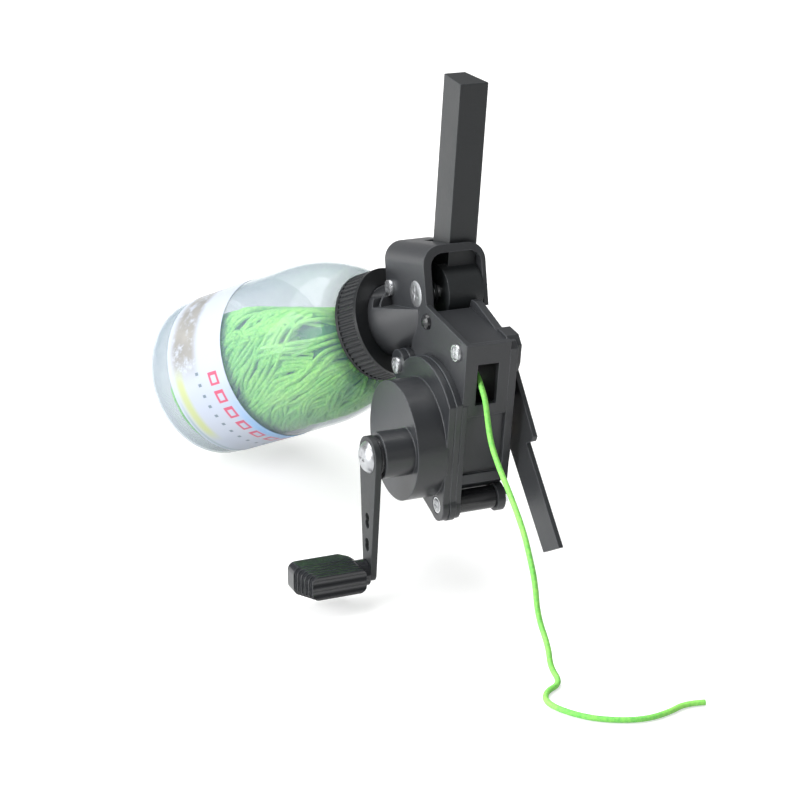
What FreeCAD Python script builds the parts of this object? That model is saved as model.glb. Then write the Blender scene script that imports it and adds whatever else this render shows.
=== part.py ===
import FreeCAD, Part
import math
import os
import re
import Sketcher
from FreeCAD import Placement, Rotation, Vector

# Bottle reel for bowfishing.
# X runs along the crank shaft, from the crank side to the bow side.
# Y runs back, from the line window to the bottle. Z is up.
# The design origin is the drum axis on the left wall's outer face, and every
# piece is then shifted so that the bow mount's hole is the part's own origin.

doc = FreeCAD.newDocument("bowfishing_reel")
sheet = doc.addObject("Spreadsheet::Sheet", "sizes")

# Driving sizes, in millimetres, degrees and counts
SIZES = {
    # Main frame and its box
    "wall_left": 2.4,
    "box_inside": 19.0,
    "box_front": 26.0,
    "front_wall": 2.4,
    "deck_top": 55.0,
    "deck_wall": 2.4,
    "deck_drop": 1.5,
    "deck_back": 15.0,
    "window_left": 6.0,
    "window_width": 10.2,
    "window_low": 25.9,
    "window_tall": 19.5,
    "sill_depth": 5.5,
    "panel_low": 8.5,
    "panel_inset": 1.8,
    "rib_low": 13.0,
    "rib_depth": 6.0,
    "wheel_well_radius": 26.4,
    "wheel_well_wall": 2.0,
    "lobe_radius": 7.6,
    "back_edge": 30.0,
    # Hood, a tunnel tilted back on the frame
    "hood_width": 30.6,
    "hood_wall": 2.1,
    "hood_depth": 43.0,
    "hood_low": 55.4,
    "hood_high": 84.8,
    "hood_tilt": 18.5,
    "hood_corner": 8.5,
    "hood_mouth": 1.2,
    "mouth_rim": 3.7,
    # Side plate
    "side_thickness": 3.6,
    "side_boss_height": 5.6,
    "side_boss_radius": 6.6,
    # Body screws
    "screw_head_radius": 3.7,
    "screw_head_height": 1.6,
    "screw_sunk": 1.7,
    "screw_radius": 1.9,
    "screw_clearance": 0.2,
    "nut_across": 6.8,
    "nut_height": 2.6,
    "blind_boss": 5.0,
    "spacer_radius": 5.2,
    "screw_back_y": 56.5,
    "screw_back_z": 48.4,
    "screw_mid_y": 29.8,
    "screw_mid_z": 21.9,
    "screw_top_y": -17.4,
    "screw_top_z": 48.3,
    "screw_low_y": -20.0,
    "screw_low_z": -24.7,
    # Gear case on the left wall
    "gear_plate_thickness": 3.0,
    "case_flange_thickness": 3.3,
    "case_radius": 35.3,
    "case_forward": 1.2,
    "case_up": 2.0,
    "case_bottom": 28.2,
    "drum_radius": 27.2,
    "drum_length": 13.7,
    "drum_wall": 2.0,
    "crank_raise": 7.0,
    "hub_radius": 10.5,
    "hub_length": 14.0,
    "bushing_wall": 1.8,
    "bushing_flange": 1.4,
    # Gears: the crank pinion inside the ring gear
    "gear_module": 1.0,
    "pinion_teeth": 13,
    "ring_teeth": 42,
    "gear_backlash": 0.3,
    "gear_width": 6.5,
    "ring_rim": 2.2,
    "ring_web": 2.0,
    # Shafts and wheel
    "crank_shaft_radius": 3.8,
    "drive_shaft_radius": 3.0,
    "shaft_clearance": 0.05,
    "bearing_wall": 2.0,
    "wheel_radius": 21.0,
    "tyre_thickness": 3.0,
    "wheel_width": 14.0,
    "wheel_gap": 2.3,
    # Crank
    "arm_length": 55.0,
    "arm_lean": 6.4,
    "arm_thickness": 2.9,
    "arm_top_radius": 9.4,
    "arm_end_radius": 4.3,
    "arm_gap": 0.4,
    "crank_screw_radius": 7.2,
    "crank_screw_height": 3.0,
    "knob_pin_radius": 2.6,
    "pin_button": 3.4,
    "knob_length": 30.2,
    "knob_depth": 19.0,
    "knob_thickness": 13.4,
    "knob_corner": 3.6,
    "knob_taper": 7.0,
    "knob_neck": 3.6,
    "knob_neck_radius": 6.0,
    "knob_end": 3.0,
    "knob_rest": 8.1,
    "knob_rib_width": 2.3,
    "knob_rib_step": 0.45,
    "knob_ribs": 5,
    "knob_gap": 0.4,
    # Trigger lever
    "pivot_y": 28.9,
    "pivot_z": 56.8,
    "pivot_radius": 2.8,
    "pivot_head_radius": 6.0,
    "lever_left": 14.6,
    "lever_width": 13.4,
    "lever_back_width": 10.0,
    "lever_front": 28.2,
    "lever_depth": 20.5,
    "lever_top": 153.8,
    "lever_slope": 1.5,
    "lever_hub_left": 11.0,
    "lever_hub_radius": 12.0,
    "lever_play": 0.4,
    "pinch_y": 19.2,
    "pinch_z": 25.2,
    "pinch_radius": 6.8,
    "pinch_width": 9.0,
    "pinch_axle_radius": 2.0,
    "cheek_thickness": 2.2,
    "cheek_radius": 5.0,
    "cheek_gap": 0.5,
    "spring_wire": 1.2,
    "spring_radius": 5.0,
    "spring_turns": 3,
    "spring_gap": 0.55,
    # Bottle group, along its own slanted axis
    "bottle_seat_x": 1.4,
    "bottle_seat_y": 55.0,
    "bottle_seat_z": 32.0,
    "bottle_drop": 30.4,
    "bottle_swing": 32.2,
    "neck_radius": 17.2,
    "neck_bore": 12.5,
    "neck_inside": 8.0,
    "bulge_length": 23.0,
    "bulge_wall": 2.0,
    "neck_flange_radius": 20.0,
    "neck_flange_thickness": 2.0,
    "collar_radius": 25.4,
    "collar_length": 13.0,
    "collar_front": 2.2,
    "collar_bore_gap": 0.3,
    "collar_flutes": 60,
    "flute_depth": 0.7,
    "gasket_thickness": 0.9,
    "finish_radius": 20.6,
    "finish_gap": 0.35,
    "bottle_radius": 39.3,
    "bottle_wall": 0.9,
    "bottle_length": 133.0,
    "shoulder_length": 34.5,
    "shoulder_rise": 3.3,
    "shoulder_radius": 30.5,
    "bottle_corner": 14.0,
    "bottle_push_up": 5.0,
    "label_start": 75.0,
    "label_length": 37.0,
    "label_thickness": 0.25,
    "label_gap": 0.05,
    # Line
    "line_diameter": 2.5,
    "hank_loops": 19,
    "hank_pitch": 3.26,
    "hank_gap": 0.4,
    "hank_start": 34.0,
    "hank_slant": 26.0,
    "core_gap": 0.35,
    # Bow mount
    "bracket_thickness": 2.2,
    "bracket_step": 8.3,
    "bar_width": 16.3,
    "bar_angle": 40.6,
    "bar_length": 50.3,
    "mount_hole_radius": 4.1,
    "mount_y": -7.0,
    "mount_z": 14.5,
    "bolt_radius": 2.5,
    "bolt_head_radius": 4.9,
    "bolt_front_y": -10.5,
    "bolt_front_z": 26.5,
    "bolt_back_y": 6.5,
    "bolt_back_z": 20.0,
    "bolt_boss_radius": 5.6,
}

# Worked-out sizes, each a formula of the ones above it
DERIVED = {
    "box_right": "wall_left + box_inside",
    "side_outer": "box_right + side_thickness",
    "boss_end": "side_outer + side_boss_height",
    "bracket_outer": "boss_end + bracket_thickness",
    "plate_left": "0 - gear_plate_thickness",
    "flange_left": "plate_left - case_flange_thickness",
    "low_seat": "flange_left + screw_sunk",
    "drum_left": "flange_left - drum_length",
    "hub_left": "drum_left - hub_length",
    "arm_right": "hub_left - bushing_flange - arm_gap",
    "arm_left": "arm_right - arm_thickness",
    "crank_screw_left": "arm_left - crank_screw_height",
    "gear_centre": "gear_module * (ring_teeth - pinion_teeth) / 2",
    "crank_y": "0 - gear_centre * cos(crank_raise)",
    "crank_z": "gear_centre * sin(crank_raise)",
    "pinion_start": "drum_left + drum_wall + 0.5",
    "crank_shaft_length": "pinion_start + gear_width - arm_right",
    "shaft_left": "drum_left + drum_wall + 1.2",
    "shaft_length": "side_outer - shaft_left - 0.6",
    "wheel_start": "wall_left + wheel_gap",
    "rim_radius": "wheel_radius - tyre_thickness",
    "knob_y": "crank_y - arm_length * sin(arm_lean)",
    "knob_z": "crank_z - arm_length * cos(arm_lean)",
    "knob_right": "arm_left - knob_gap - knob_neck",
    "knob_left": "knob_right - knob_length",
    "pin_tip": "knob_left + knob_end + knob_gap",
    "hub_width": "lever_left + lever_width - lever_hub_left",
    "yoke_left": "wall_left + box_inside / 2 - pinch_width / 2 - cheek_gap - cheek_thickness",
    "yoke_width": "pinch_width + 2 * cheek_gap + 2 * cheek_thickness",
    "roller_left": "yoke_left + cheek_thickness + cheek_gap",
    "pivot_length": "hood_width - 0.9",
    "flange_start": "collar_front + 0.6",
    "gasket_start": "flange_start + neck_flange_thickness",
    "mouth_start": "gasket_start + gasket_thickness",
    "hank_radius": "bottle_radius - bottle_wall - line_diameter / 2 - hank_gap",
    "core_radius": "hank_radius * 0.84 - line_diameter / 2 - core_gap",
    "core_start": "hank_start + 4",
    "core_length": "hank_loops * hank_pitch + 6",
}

for row, (alias, number) in enumerate(list(SIZES.items()) + list(DERIVED.items()), start=1):
    sheet.set(f"A{row}", alias)
    sheet.set(f"B{row}", str(number) if alias in SIZES else "=" + number)
    sheet.setAlias(f"B{row}", alias)
doc.recompute()

NAMES = set(SIZES) | set(DERIVED)


def bound(text):
    """An expression on the sheet: every size's name gets the sheet's own name before it."""
    return re.sub(
        r"[a-z_]+", lambda word: "sizes." + word.group() if word.group() in NAMES else word.group(), text
    )


def value(text):
    """The number that an expression on the sheet gives now."""
    result = sheet.evalExpression(bound(text))
    return float(getattr(result, "Value", result))


MOUNT_POINT = Vector(value("bracket_outer"), value("mount_y"), value("mount_z"))
FRAME_SHIFT = Placement(MOUNT_POINT * -1, Rotation())
X_AXIS = Vector(1, 0, 0)
Z_AXIS = Vector(0, 0, 1)
ALONG_X = Rotation(Z_AXIS, X_AXIS)
SIDE_VIEW = Rotation(Vector(0, 1, 0), Vector(0, 0, 1), X_AXIS, "ZXY")

drop = math.radians(value("bottle_drop"))
swing = math.radians(value("bottle_swing"))
BOTTLE_AXIS = Vector(
    -math.cos(drop) * math.sin(swing), math.cos(drop) * math.cos(swing), -math.sin(drop)
)
BOTTLE_SEAT = Vector(value("bottle_seat_x"), value("bottle_seat_y"), value("bottle_seat_z"))
BOTTLE_TURN = Rotation(Z_AXIS, BOTTLE_AXIS)
BOTTLE_FRAME = Placement(BOTTLE_SEAT, BOTTLE_TURN)

tilt = math.radians(value("hood_tilt"))
HOOD_FRAME = Placement(Vector(0, 0, 0), Rotation(X_AXIS, -value("hood_tilt")))

pieces = []


def keep(piece, label):
    """Lists a finished sub-part under its own name, moved to the part's origin."""
    piece.Label = label
    piece.Placement = FRAME_SHIFT.multiply(piece.Placement)
    pieces.append(piece)
    return piece


def constrain_point(sketch, geometry, end, across, up):
    """Ties one point of a sketch to the sheet, along both sketch axes."""
    for kind, text in (("DistanceX", across), ("DistanceY", up)):
        index = sketch.addConstraint(Sketcher.Constraint(kind, -1, 1, geometry, end, value(text)))
        sketch.setExpression(f"Constraints[{index}]", bound(text))


def draw_polygon(sketch, points):
    """A closed outline whose corners are pairs of expressions."""
    corners = [Vector(value(a), value(b), 0) for a, b in points]
    count = len(corners)
    first = sketch.GeometryCount
    for i in range(count):
        sketch.addGeometry(Part.LineSegment(corners[i], corners[(i + 1) % count]), False)
    for i in range(count):
        following = first + (i + 1) % count
        sketch.addConstraint(Sketcher.Constraint("Coincident", first + i, 2, following, 1))
    for i, (a, b) in enumerate(points):
        constrain_point(sketch, first + i, 1, a, b)


def draw_circle(sketch, centre, radius):
    """A circle whose centre and radius are expressions."""
    middle = Vector(value(centre[0]), value(centre[1]), 0)
    index = sketch.addGeometry(Part.Circle(middle, Z_AXIS, value(radius)), False)
    constrain_point(sketch, index, 3, centre[0], centre[1])
    bond = sketch.addConstraint(Sketcher.Constraint("Radius", index, value(radius)))
    sketch.setExpression(f"Constraints[{bond}]", bound(radius))


def free_sketch(name):
    """A sketch in the side view: its own axes are Y and Z, its normal is X."""
    sketch = doc.addObject("Sketcher::SketchObject", name)
    sketch.Placement = Placement(Vector(0, 0, 0), SIDE_VIEW)
    return sketch


def extrude(name, sketch, start, length):
    """The sketch pushed along X, from start for length."""
    solid = doc.addObject("Part::Extrusion", name)
    solid.Base = sketch
    solid.DirMode = "Custom"
    solid.Dir = X_AXIS
    solid.Solid = True
    solid.setExpression("LengthFwd", bound(length))
    solid.setExpression("Placement.Base.x", bound(start))
    return solid


def slab(name, points, start, length):
    """A flat piece with a polygon outline in the side view."""
    sketch = free_sketch(name + "_outline")
    draw_polygon(sketch, points)
    return extrude(name, sketch, start, length)


def rod(name, centre, radius, start, length):
    """A cylinder along X."""
    solid = doc.addObject("Part::Cylinder", name)
    solid.Placement = Placement(Vector(0, 0, 0), ALONG_X)
    solid.setExpression("Radius", bound(radius))
    solid.setExpression("Height", bound(length))
    solid.setExpression("Placement.Base.x", bound(start))
    solid.setExpression("Placement.Base.y", bound(centre[0]))
    solid.setExpression("Placement.Base.z", bound(centre[1]))
    return solid


def block(name, corner, size):
    """A box from its lowest corner, along the three axes."""
    solid = doc.addObject("Part::Box", name)
    for axis, text in zip("xyz", corner):
        solid.setExpression(f"Placement.Base.{axis}", bound(text))
    for side, text in zip(("Length", "Width", "Height"), size):
        solid.setExpression(side, bound(text))
    return solid


def rounded_block(name, corner, size, along, radius, chosen=None):
    """A block whose edges along one axis are rounded: all four, or those that chosen picks."""
    solid = block(name, corner, size)
    solid.recompute()
    edges = []
    for number, edge in enumerate(solid.Shape.Edges, start=1):
        way = edge.Vertexes[1].Point - edge.Vertexes[0].Point
        middle = edge.CenterOfMass
        if abs(getattr(way, along)) > 1e-6 and (chosen is None or chosen(middle)):
            edges.append((number, value(radius), value(radius)))
    rounded = doc.addObject("Part::Fillet", name + "_rounded")
    rounded.Base = solid
    rounded.Edges = edges
    return rounded


def drum_like(name, radius, start, length):
    """A cylinder on the bottle's slanted axis."""
    solid = doc.addObject("Part::Cylinder", name)
    solid.setExpression("Radius", bound(radius))
    solid.setExpression("Height", bound(length))
    solid.Placement = BOTTLE_FRAME.multiply(Placement(Vector(0, 0, value(start)), Rotation()))
    return solid


def join(name, shapes):
    """One solid from several that overlap."""
    fused = doc.addObject("Part::MultiFuse", name)
    fused.Shapes = shapes
    fused.Refine = True
    return fused


def cut(name, base, tools):
    """A solid with one or more others taken out of it."""
    tool = tools[0] if len(tools) == 1 else join(name + "_tools", tools)
    result = doc.addObject("Part::Cut", name)
    result.Base = base
    result.Tool = tool
    result.Refine = True
    return result


def turned(label, profile, place):
    """A piece of the lathe: a closed profile of (radius, height) turned about its own Z axis."""
    body = doc.addObject("PartDesign::Body", label)
    sketch = body.newObject("Sketcher::SketchObject", label + "_profile")
    planes = {plane.Role: plane for plane in body.Origin.OriginFeatures}
    sketch.AttachmentSupport = [(planes["XZ_Plane"], "")]
    sketch.MapMode = "FlatFace"
    draw_polygon(sketch, profile)
    turning = body.newObject("PartDesign::Revolution", label + "_turning")
    turning.Profile = sketch
    turning.ReferenceAxis = (sketch, ["V_Axis"])
    turning.Angle = 360
    body.Placement = place
    return body


def along_x(start, centre):
    """The place of a turned piece whose axis runs along X."""
    return Placement(Vector(value(start), value(centre[0]), value(centre[1])), ALONG_X)


PIVOT = ("pivot_y", "pivot_z")
DRUM = ("0", "0")
CASE = ("0 - case_forward", "case_up")
KNOB = ("knob_y", "knob_z")
CRANK = ("crank_y", "crank_z")
PINCH = ("pinch_y", "pinch_z")
BACK_SCREW = ("screw_back_y", "screw_back_z")
MID_SCREW = ("screw_mid_y", "screw_mid_z")
TOP_SCREW = ("screw_top_y", "screw_top_z")
LOW_SCREW = ("screw_low_y", "screw_low_z")
FRONT_BOLT = ("bolt_front_y", "bolt_front_z")
BACK_BOLT = ("bolt_back_y", "bolt_back_z")
MOUNT = ("mount_y", "mount_z")
HOLE = "screw_radius + screw_clearance"


# Main frame: the left wall, the front box, the wheel well, the hood and the bottle's neck
def hood_block(name, inset, low, start, stop):
    """The hood's outer or inner form: a block with its two top edges rounded, in the hood's tilt."""
    top = value(f"hood_high - {inset}")
    rounded = rounded_block(
        name,
        (inset, start, low),
        (f"hood_width - 2 * {inset}", f"({stop}) - ({start})", f"hood_high - {inset} - ({low})"),
        "y",
        f"hood_corner - {inset}",
        lambda spot: abs(spot.z - top) < 0.01,
    )
    rounded.Placement = HOOD_FRAME
    return rounded


def hood_point(along, high):
    """Expressions for a point of the hood's side view: along its axis from the mouth, and up."""
    return (
        f"({along}) * cos(hood_tilt) + ({high}) * sin(hood_tilt)",
        f"({high}) * cos(hood_tilt) - ({along}) * sin(hood_tilt)",
    )


def case_form(name, start, length, inset):
    """The gear case's outline, which the left wall repeats: a disc with a straight front and foot."""
    disc = rod(name + "_disc", CASE, f"case_radius - {inset}", start, length)
    trims = [
        block(
            name + "_front_trim",
            (f"{start} - 1", "0 - box_front - 20.3", "0 - case_radius - 5"),
            (f"{length} + 2", "20", "case_radius * 2 + 15"),
        ),
        block(
            name + "_foot_trim",
            (f"{start} - 1", "0 - case_radius - 5", "0 - case_bottom - 20"),
            (f"{length} + 2", "case_radius * 2 + 10", "20"),
        ),
    ]
    foot = slab(
        name + "_foot",
        [
            ("0 - 4", "0 - case_bottom"),
            ("screw_low_y - 0.6", f"screw_low_z - lobe_radius + {inset}"),
            ("screw_low_y", "screw_low_z + 2"),
            ("0 - 4", "0 - case_bottom + 5"),
        ],
        start,
        length,
    )
    lobes = [
        rod(f"{name}_lobe_{spot}", centre, f"lobe_radius - {inset}", start, length)
        for spot, centre in (("mid", MID_SCREW), ("low", LOW_SCREW))
    ]
    return join(name + "_form", [cut(name + "_flat", disc, trims), foot] + lobes)


def neck_bulge():
    """Where the bottle's neck grows out of the left wall, below the hood's edge."""
    away = block("bulge_right_side", ("wall_left", "0", "-20"), ("80", "120", "120"))
    outer = drum_like("bulge_outer", "neck_radius", "0 - neck_inside - bulge_length", "bulge_length + 1")
    lobe_room = rod("bulge_lobe_room", MID_SCREW, "lobe_radius + 0.3", "-12", "12")
    return cut("neck_bulge", outer, [away, lobe_room])


def above_hood_edge(name, low, right):
    """The space left of a wall and above the hood's lower edge, in front of the neck's own ring."""
    corners = [("-20", low), ("100", low), ("100", f"({low}) + 60"), ("-20", f"({low}) + 60")]
    space = slab(name + "_space", [hood_point(*corner) for corner in corners], "-40", f"40 + {right}")
    ring = drum_like(name + "_ring", "90", "0 - 3", "80")
    return cut(name, space, [ring])


def mouth_rim():
    """The thicker rim round the left and top of the hood's mouth."""
    top = value("hood_high - mouth_rim")
    inner = rounded_block(
        "rim_inner",
        ("mouth_rim", "0 - 8", "hood_low - 5"),
        ("hood_width - hood_wall - mouth_rim", "30", "hood_high - mouth_rim - hood_low + 5"),
        "y",
        "hood_corner - mouth_rim + 1",
        lambda spot: abs(spot.z - top) < 0.01,
    )
    inner.Placement = HOOD_FRAME
    return cut("mouth_rim", hood_block("rim_outer", "0", "hood_low", "0 - hood_mouth", "1.6"), [inner])


def main_frame():
    left_outline = [
        ("0 - box_front", "deck_top"),
        hood_point("0 - hood_mouth", "hood_low + 3"),
        hood_point("0 - hood_mouth", "hood_low + 12"),
        hood_point("hood_depth - 12", "hood_low + 12"),
        hood_point("hood_depth - 12", "hood_low + 1"),
        ("back_edge", "deck_top - 7"),
        ("back_edge", "0"),
        ("0 - box_front", "0 - rib_low"),
    ]
    wall = slab("left_wall", left_outline, "0", "wall_left")
    disc = case_form("left_case", "0", "wall_left", "0.6")
    front = block(
        "front_panel",
        ("0", "0 - box_front", "window_low - sill_depth"),
        ("box_right", "front_wall", "deck_top - window_low + sill_depth"),
    )
    deck = block(
        "deck",
        ("0", "0 - box_front", "deck_top - deck_drop - deck_wall"),
        ("box_right", "box_front + deck_back", "deck_wall"),
    )
    panel = block(
        "inset_panel",
        ("0", "panel_inset - box_front", "0 - panel_low - 1"),
        ("box_right", "front_wall", "window_low - sill_depth + panel_low + 2"),
    )
    rib = block(
        "cross_rib",
        ("0", "0.4 - box_front", "0 - rib_low"),
        ("box_right", "rib_depth", "rib_low - panel_low"),
    )
    well_outer = rod("well_outer", DRUM, "wheel_well_radius", "0", "box_right")
    well_inner = rod(
        "well_inner", DRUM, "wheel_well_radius - wheel_well_wall", "wall_left", "box_inside + 1"
    )
    well_open = block(
        "well_open",
        ("wall_left", "0 - wheel_well_radius - 1", "0 - panel_low"),
        ("box_inside + 1", "2 * wheel_well_radius + 2", "2 * wheel_well_radius"),
    )
    well = cut("wheel_well", well_outer, [well_inner, well_open])
    hood = cut(
        "hood_shell",
        hood_block("hood_outer", "0", "hood_low", "0 - hood_mouth", "hood_depth"),
        [hood_block("hood_inner", "hood_wall", "hood_low - 5", "0 - 6", "hood_depth - hood_wall")],
    )
    back_lug = rod("back_lug", BACK_SCREW, "screw_head_radius + 2.2", "0", "hood_width")
    blind_boss = rod("blind_boss_mid", MID_SCREW, "screw_head_radius + 0.6", "0", "wall_left + blind_boss")
    solids = [wall, disc, front, deck, panel, rib, well, hood, mouth_rim(), back_lug, blind_boss]
    shell = join("frame_shell", solids)
    collar_room = drum_like("collar_room", "collar_radius + 1", "0 - 0.4", "collar_length + 20")
    roomy = cut("frame_with_room", shell, [collar_room])
    neck = drum_like(
        "neck_tube", "neck_radius", "0 - neck_inside", "neck_inside + flange_start + neck_flange_thickness"
    )
    flange = drum_like("neck_flange", "neck_flange_radius", "flange_start", "neck_flange_thickness")
    group = join("neck_group", [neck, flange, neck_bulge()])
    trimmed = cut("neck_trimmed", group, [above_hood_edge("outer_limit", "hood_low + 0.6", "0")])
    with_neck = join("frame_with_neck", [roomy, trimmed])
    passage = drum_like("neck_passage", "neck_bore", "0 - neck_inside - 1", "neck_inside + 30")
    deep = "0 - neck_inside - bulge_length - 6"
    bulge_inner = drum_like("bulge_inner", "neck_radius - bulge_wall", deep, "bulge_length + 6")
    inner_limit = above_hood_edge("inner_limit", "hood_low + 0.6 - bulge_wall", "wall_left")
    hollow = cut("bulge_hollow", bulge_inner, [inner_limit])
    passage_limit = above_hood_edge("passage_limit", "hood_low + 0.6 - bulge_wall", "wall_left")
    closed_passage = cut("passage_limited", passage, [passage_limit])
    window = block(
        "line_window",
        ("window_left", "0 - box_front - 1", "window_low"),
        ("window_width", "front_wall + panel_inset + 2", "window_tall"),
    )
    slot = slab(
        "lever_slot",
        [
            ("lever_front - lever_play", "pivot_z + 10"),
            ("lever_front - lever_play", "pivot_z + 40"),
            ("lever_front + lever_depth + 6", "pivot_z + 40"),
            ("lever_front + lever_depth + 6", "pivot_z + 10"),
        ],
        "lever_left - lever_play",
        "lever_width + 2 * lever_play",
    )
    holes = [
        rod("hole_" + name, centre, HOLE, "-10", "hood_width + 12")
        for name, centre in (("back", BACK_SCREW), ("low", LOW_SCREW), ("top", TOP_SCREW))
    ]
    holes.append(rod("hole_mid", MID_SCREW, HOLE, "-1", "wall_left + blind_boss"))
    holes.append(rod("hole_pivot", PIVOT, "pivot_radius + shaft_clearance", "-1", "hood_width + 2"))
    holes.append(
        rod("hole_bearing", DRUM, "drive_shaft_radius + bearing_wall", "-1", "wall_left + 2")
    )
    holes.append(rod("pivot_recess", PIVOT, "pivot_head_radius + 0.2", "-1", "1.9"))
    holes.append(rod("head_room", BACK_SCREW, "screw_head_radius + 0.3", "-12", "12"))
    return keep(
        cut("frame_cut", with_neck, [window, slot, closed_passage, hollow] + holes), "main_frame"
    )


main_frame()


# Side plate, the cover on the bow side, with bosses for the top screw and the bracket
def side_plate():
    clear = "(lever_hub_radius + 0.6)"
    outline = [
        ("0 - box_front", "deck_top - 4"),
        ("3 - box_front", "deck_top - 1.5"),
        ("-10", "deck_top - 1.5"),
        ("12", "deck_top + 2.5"),
        (f"pivot_y - {clear} * 1.03", "pivot_z"),
        (f"pivot_y - {clear} * 0.85", f"pivot_z - {clear} * 0.58"),
        (f"pivot_y - {clear} * 0.45", f"pivot_z - {clear} * 0.92"),
        ("back_edge", f"pivot_z - {clear} * 1.03"),
        ("back_edge", "0"),
        ("0 - box_front", "0 - rib_low"),
    ]
    top_boss = slab(
        "side_boss_top",
        [
            ("screw_top_y + 6", "screw_top_z + side_boss_radius"),
            ("screw_top_y - 2.6", "screw_top_z + side_boss_radius"),
            ("screw_top_y - side_boss_radius", "screw_top_z + 3"),
            ("screw_top_y - side_boss_radius", "screw_top_z - 5.5"),
            ("screw_top_y - 5", "screw_top_z - 10.3"),
            ("screw_top_y + 6", "screw_top_z - 10.3"),
        ],
        "box_right",
        "side_thickness + nut_height",
    )
    parts = [
        slab("side_wall", outline, "box_right", "side_thickness"),
        rod("side_disc", DRUM, "wheel_well_radius", "box_right", "side_thickness"),
        rod("side_lobe_low", LOW_SCREW, "side_boss_radius", "box_right", "side_thickness"),
        top_boss,
    ]
    holes = [
        rod("side_hole_" + name, centre, HOLE, "box_right - 1", "side_thickness + 12")
        for name, centre in (("low", LOW_SCREW), ("top", TOP_SCREW))
    ]
    pocket_radius = "nut_across / 2 / cos(30) + 0.3"
    holes.append(rod("nut_pocket", TOP_SCREW, pocket_radius, "side_outer", "nut_height + 1"))
    for name, centre in (("front", FRONT_BOLT), ("back", BACK_BOLT)):
        height = "side_thickness + side_boss_height"
        parts.append(rod("bolt_boss_" + name, centre, "bolt_boss_radius", "box_right", height))
        holes.append(rod("bolt_hole_" + name, centre, "bolt_radius", "box_right + 1.5", "30"))
    holes.append(
        rod("side_bearing", DRUM, "drive_shaft_radius + bearing_wall", "box_right - 1", "9")
    )
    plate = join("side_joined", parts)
    return keep(cut("side_cut", plate, holes), "side_plate")


side_plate()


# Gear plate and gear cover, the two layers of the gear case
def case_screw_holes(name, start, length):
    return [
        rod(f"{name}_screw_{spot}", centre, HOLE, start, length)
        for spot, centre in (("mid", MID_SCREW), ("low", LOW_SCREW))
    ]


def gear_plate():
    layer = case_form("gear_plate", "plate_left", "gear_plate_thickness", "0")
    holes = case_screw_holes("gear_plate", "plate_left - 1", "gear_plate_thickness + 2")
    holes.append(
        rod("plate_bearing", DRUM, "drive_shaft_radius + bearing_wall", "plate_left - 1", "9")
    )
    return keep(cut("gear_plate_cut", layer, holes), "gear_plate")


def gear_cover():
    layer = case_form("gear_cover", "flange_left", "case_flange_thickness", "0.4")
    drum = rod("drum", DRUM, "drum_radius", "drum_left", "drum_length + 1")
    hub = rod("hub", CRANK, "hub_radius", "hub_left", "hub_length + 1")
    cavity = rod(
        "drum_cavity",
        DRUM,
        "drum_radius - drum_wall",
        "drum_left + drum_wall",
        "drum_length + case_flange_thickness",
    )
    bore = rod("hub_bore", CRANK, "crank_shaft_radius + bushing_wall", "hub_left - 1", "hub_length + 9")
    holes = case_screw_holes("gear_cover", "flange_left - 1", "case_flange_thickness + 2")
    seat = rod("sunk_seat", LOW_SCREW, "screw_head_radius + 0.3", "flange_left - 1", "screw_sunk + 1")
    holes.append(seat)
    solid = join("gear_cover_joined", [layer, drum, hub])
    return keep(cut("gear_cover_cut", solid, [cavity, bore] + holes), "gear_cover")


gear_plate()
gear_cover()


# Screws, nuts and spacers
def pan_screw(name, start, centre, length):
    """A pan head at the left end of a plain shank, with a cross recess."""
    face = f"{start} - screw_head_height"
    head = rod(name + "_head", centre, "screw_head_radius", face, "screw_head_height")
    shank = rod(name + "_shank", centre, "screw_radius", f"{start} - 0.5", length)
    solid = join(name + "_solid", [head, shank])
    y, z = centre
    slots = [
        block(
            name + "_slot_a",
            (f"{start} - screw_head_height - 1", f"{y} - 0.5", f"{z} - 2.2"),
            ("1.9", "1", "4.4"),
        ),
        block(
            name + "_slot_b",
            (f"{start} - screw_head_height - 1", f"{y} - 2.2", f"{z} - 0.5"),
            ("1.9", "4.4", "1"),
        ),
    ]
    return cut(name, solid, slots)


body_screws = [
    pan_screw("screw_back", "0", BACK_SCREW, "hood_width + 3"),
    pan_screw("screw_mid", "flange_left", MID_SCREW, "wall_left + blind_boss - flange_left - 1"),
    pan_screw("screw_low", "low_seat", LOW_SCREW, "side_outer - low_seat + 3"),
    pan_screw("screw_top", "0", TOP_SCREW, "side_outer + nut_height"),
]
screw_group = doc.addObject("Part::Compound", "body_screw_group")
screw_group.Links = body_screws
keep(screw_group, "body_screws")


def hex_nut(name, start, centre, across, height, bore):
    """A hexagon nut seated at start."""
    prism = doc.addObject("Part::Prism", name + "_prism")
    prism.Polygon = 6
    prism.setExpression("Circumradius", bound(f"({across}) / 2 / cos(30)"))
    prism.setExpression("Height", bound(height))
    prism.Placement = Placement(Vector(0, 0, 0), ALONG_X)
    prism.setExpression("Placement.Base.x", bound(start))
    prism.setExpression("Placement.Base.y", bound(centre[0]))
    prism.setExpression("Placement.Base.z", bound(centre[1]))
    hole = rod(name + "_hole", centre, bore, f"{start} - 1", f"{height} + 2")
    return cut(name, prism, [hole])


nut_bore = "screw_radius + shaft_clearance"
nut_group = doc.addObject("Part::Compound", "body_nut_group")
nut_group.Links = [
    hex_nut("nut_back", "hood_width", BACK_SCREW, "nut_across", "nut_height", nut_bore),
    hex_nut("nut_low", "side_outer", LOW_SCREW, "nut_across", "nut_height", nut_bore),
    hex_nut("nut_top", "side_outer", TOP_SCREW, "nut_across", "nut_height", nut_bore),
]
keep(nut_group, "body_nuts")

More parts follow.
